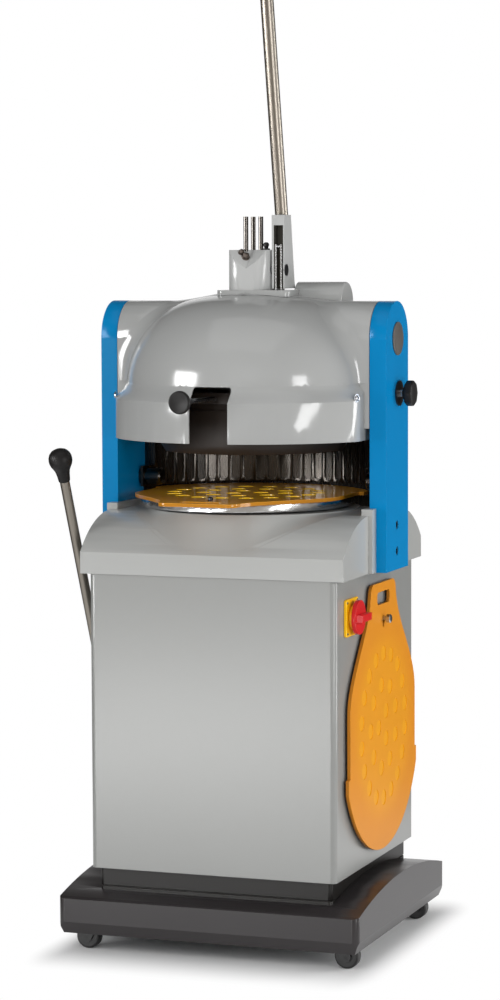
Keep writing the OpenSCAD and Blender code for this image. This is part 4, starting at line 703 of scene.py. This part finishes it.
# The cheek lock: a ground steel plunger in a black bush, with a thick eight-sided black knob moulded on
# its end.
dress(ground_steel, ["plunger_pin"])
dress(black_oxide, ["lock_bush"])
knob_x, knob_y, knob_z = 318.9, 10, 1133
knob_neck, knob_len, knob_r, knob_edge = 6.0, 23.0, 27.0, 0.0042
bpy.ops.object.select_all(action="DESELECT")
bpy.ops.mesh.primitive_cylinder_add(vertices=8, radius=knob_r / 1000, depth=(knob_len - knob_neck) / 1000,
                                    location=(0, 0, (knob_len + knob_neck) / 2000))
plunger_knob = bpy.context.object
plunger_knob.name = "plunger_knob_moulded"
bpy.ops.object.transform_apply(location=True)
round_edges(knob_edge, segments=4)
bpy.ops.object.shade_smooth_by_angle(angle=radians(40))
plunger_knob.data.transform(Matrix.Translation(Vector((knob_x, knob_y, knob_z)) / 1000)
                            @ Matrix.Rotation(pi / 2, 4, "Y"))
assign(plunger_knob, black_phenolic, "plunger")
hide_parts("plunger_knob")
turned("plunger_neck", [(8.05, 0), (11.4, 0.2), (12.0, 1.0), (12.0, knob_neck + 1), (0, knob_neck + 1)],
       (knob_x, knob_y, knob_z), (1, 0, 0), black_phenolic, "plunger")


# The studio floor: a sheet of white paper, three metres wide, which keeps the shadow beside the base and
# fades into the white background.
floor_size, floor_rough, paper_grey = 3, 0.7, (0.9, 0.9, 0.9, 1)
base_half, fade_reach = (0.3, 0.28, 0), 0.17
# The fade is quicker at the sides than in front
fade_speed = (2.2, 1, 1)
bpy.ops.object.select_all(action="DESELECT")
bpy.ops.mesh.primitive_plane_add(size=floor_size, location=(0, 0, 0))
floor = bpy.context.object
floor.name = "studio_floor"
# White paper: matt, and lit up to pure white away from the base
studio_white, floor_shader, place = surface("studio_white_paper")
floor_shader.inputs["Base Color"].default_value = paper_grey
floor_shader.inputs["Roughness"].default_value = floor_rough
mirrored = add(studio_white, "ShaderNodeVectorMath", {0: place}, operation="ABSOLUTE")
past_base = add(studio_white, "ShaderNodeVectorMath", {0: mirrored.outputs["Vector"], 1: base_half},
                operation="SUBTRACT")
past_base = add(studio_white, "ShaderNodeVectorMath", {0: past_base.outputs["Vector"], 1: (0, 0, 0)},
                operation="MAXIMUM")
past_base = add(studio_white, "ShaderNodeVectorMath", {0: past_base.outputs["Vector"], 1: fade_speed},
                operation="MULTIPLY")
away = add(studio_white, "ShaderNodeVectorMath", {0: past_base.outputs["Vector"]}, operation="LENGTH")
fade = add(studio_white, "ShaderNodeMapRange",
           {"Value": away.outputs["Value"], "From Min": 0.0, "From Max": fade_reach},
           interpolation_type="SMOOTHSTEP")
seen = add(studio_white, "ShaderNodeLightPath")
looked = add(studio_white, "ShaderNodeMath",
             {0: seen.outputs["Is Camera Ray"], 1: seen.outputs["Is Glossy Ray"]},
             operation="ADD", use_clamp=True)
looked = add(studio_white, "ShaderNodeMath",
             {0: looked.outputs["Value"], 1: seen.outputs["Is Transmission Ray"]},
             operation="ADD", use_clamp=True)
share = add(studio_white, "ShaderNodeMath", {0: fade.outputs["Result"], 1: looked.outputs["Value"]},
            operation="MULTIPLY")
white = add(studio_white, "ShaderNodeEmission", {"Color": (1, 1, 1, 1), "Strength": 1.0})
blend = add(studio_white, "ShaderNodeMixShader",
            {0: share.outputs["Value"], 1: floor_shader.outputs["BSDF"], 2: white.outputs["Emission"]})
link(studio_white, blend.outputs["Shader"], studio_white.node_tree.nodes["Material Output"].inputs["Surface"])
floor.data.materials.append(studio_white)


# The studio's walls: the camera sees white all round. Reflections see white paper behind the object, dark
# flags beside it and a dim warm room in front, and everything else gets an even fill light.
yaw, tilt, roll = radians(19.85), radians(4.82), radians(-0.25)
fill_level = 0.24
# Tones from straight in front of the object, at 0, to straight behind it, at 1
room_tones = [(0.0, "#b5aea6"), (0.38, "#99928a"), (0.56, "#4c4844"), (0.95, "#403d3a"), (0.985, "#ffffff")]
world = bpy.data.worlds.new("studio_world")
bpy.context.scene.world = world
world.use_nodes = True
sky = world.node_tree.nodes["Background"]
path = add(world, "ShaderNodeLightPath")
way = add(world, "ShaderNodeTexCoord").outputs["Generated"]
facing = add(world, "ShaderNodeVectorMath", {0: way, 1: (-sin(yaw), cos(yaw), 0)}, operation="DOT_PRODUCT")
turn_to_paper = add(world, "ShaderNodeMapRange",
                    {"Value": facing.outputs["Value"], "From Min": -1.0, "From Max": 1.0})
studio = add(world, "ShaderNodeValToRGB", {"Fac": turn_to_paper.outputs["Result"]})
ramp = studio.color_ramp.elements
while len(ramp) < len(room_tones):
    ramp.new(0.5)
for element, (position, tone) in zip(ramp, room_tones):
    element.position = position
    element.color = linear(tone)
fill = add(world, "ShaderNodeMix",
           {"Factor": path.outputs["Is Glossy Ray"], "A": (fill_level, fill_level, fill_level, 1),
            "B": studio.outputs["Color"]}, data_type="RGBA")
clear = add(world, "ShaderNodeMath",
            {0: path.outputs["Is Camera Ray"], 1: path.outputs["Is Transmission Ray"]},
            operation="ADD", use_clamp=True)
shown = add(world, "ShaderNodeMix",
            {"Factor": clear.outputs["Value"], "A": fill.outputs["Result"], "B": (1, 1, 1, 1)},
            data_type="RGBA")
link(world, shown.outputs["Result"], sky.inputs["Color"])


# The studio's lights: soft boxes at both sides and overhead, and fills in front. The left box and the fills
# don't show in gloss. Two bright cards show only there: one is the square in the hood, the other a soft band
# on the cabinet.
def soft_box(name, place, target, size, power, shows=True):
    """A lamp behind a diffuser, which may be flagged so that it lights without showing in gloss."""
    lamp = bpy.data.lights.new(name, "AREA")
    lamp.shape = "RECTANGLE"
    lamp.size, lamp.size_y = size
    lamp.energy = power
    obj = bpy.data.objects.new(name, lamp)
    bpy.context.scene.collection.objects.link(obj)
    obj.location = place
    obj.rotation_euler = (Vector(target) - Vector(place)).to_track_quat("-Z", "Y").to_euler()
    obj.visible_glossy = shows


def bright_card(name, place, target, size, level):
    """A white card that is only seen as a highlight in gloss."""
    width, height = size
    bpy.ops.object.select_all(action="DESELECT")
    bpy.ops.mesh.primitive_plane_add(size=1)
    card = bpy.context.object
    card.name = name
    lean = (Vector(place) - Vector(target)).to_track_quat("Z", "Y").to_matrix().to_4x4()
    card.data.transform(Matrix.Translation(place) @ lean @ Matrix.Diagonal((width, height, 1, 1)))
    paper = bpy.data.materials.new(name + "_paper")
    paper.use_nodes = True
    glow = add(paper, "ShaderNodeEmission", {"Color": (1, 1, 1, 1), "Strength": level})
    link(paper, glow.outputs["Emission"], paper.node_tree.nodes["Material Output"].inputs["Surface"])
    card.data.materials.append(paper)
    card.visible_camera = False
    card.visible_diffuse = False
    card.visible_shadow = False
    card.visible_transmission = False


press_aim = (0, -0.1, 1.1)
soft_box("left_soft_box", (-1.98, -2.03, 1.24), press_aim, size=(1.1, 1.1), power=25, shows=False)
soft_box("right_soft_box", (2.36, -1.6, 1.05), press_aim, size=(0.62, 1.3), power=30)
soft_box("side_soft_box", (2.75, 1.2, 0.95), (0, 0, 0.9), size=(0.8, 1.8), power=46)
soft_box("top_soft_box", (0.0, -0.9, 3.7), (0, 0, 1.0), size=(2.6, 2.6), power=16)
soft_box("front_fill", (0.5, -3.4, 1.9), (0, 0, 1.0), size=(1.6, 1.2), power=28, shows=False)
soft_box("front_low_fill", (0.3, -3.4, 0.95), (0, 0, 0.9), size=(1.6, 0.6), power=10, shows=False)
bright_card("left_card", (-1.98, -2.03, 1.46), (0, -0.1, 1.3), size=(1.1, 0.72), level=24)
bright_card("low_front_card", (-0.72, -2.14, 0.14), (0, -0.2, 0.5), size=(1.3, 0.3), level=12)


# The camera stands to the operator's right of the middle, half a metre above the table, with a long lens.
# Its place, turn and lens are fitted to the edges of the machine in the photograph.
lens_mm, sensor_mm, camera_place = 109.39, 36, (2.11784, -5.89399, 1.43645)
right = Vector((cos(yaw), sin(yaw), 0))
ahead = Vector((-sin(yaw), cos(yaw), 0))
up = Vector((0, 0, 1))
forward = ahead * cos(tilt) - up * sin(tilt)
level_up = ahead * sin(tilt) + up * cos(tilt)
side_way = right * cos(roll) + level_up * sin(roll)
up_way = level_up * cos(roll) - right * sin(roll)
eye = bpy.data.cameras.new("camera")
eye.lens = lens_mm
eye.sensor_width = sensor_mm
eye.clip_end = 60
camera = bpy.data.objects.new("camera", eye)
bpy.context.scene.collection.objects.link(camera)
pose = Matrix((side_way, up_way, -forward)).transposed().to_4x4()
pose.translation = Vector(camera_place)
camera.matrix_world = pose
bpy.context.scene.camera = camera
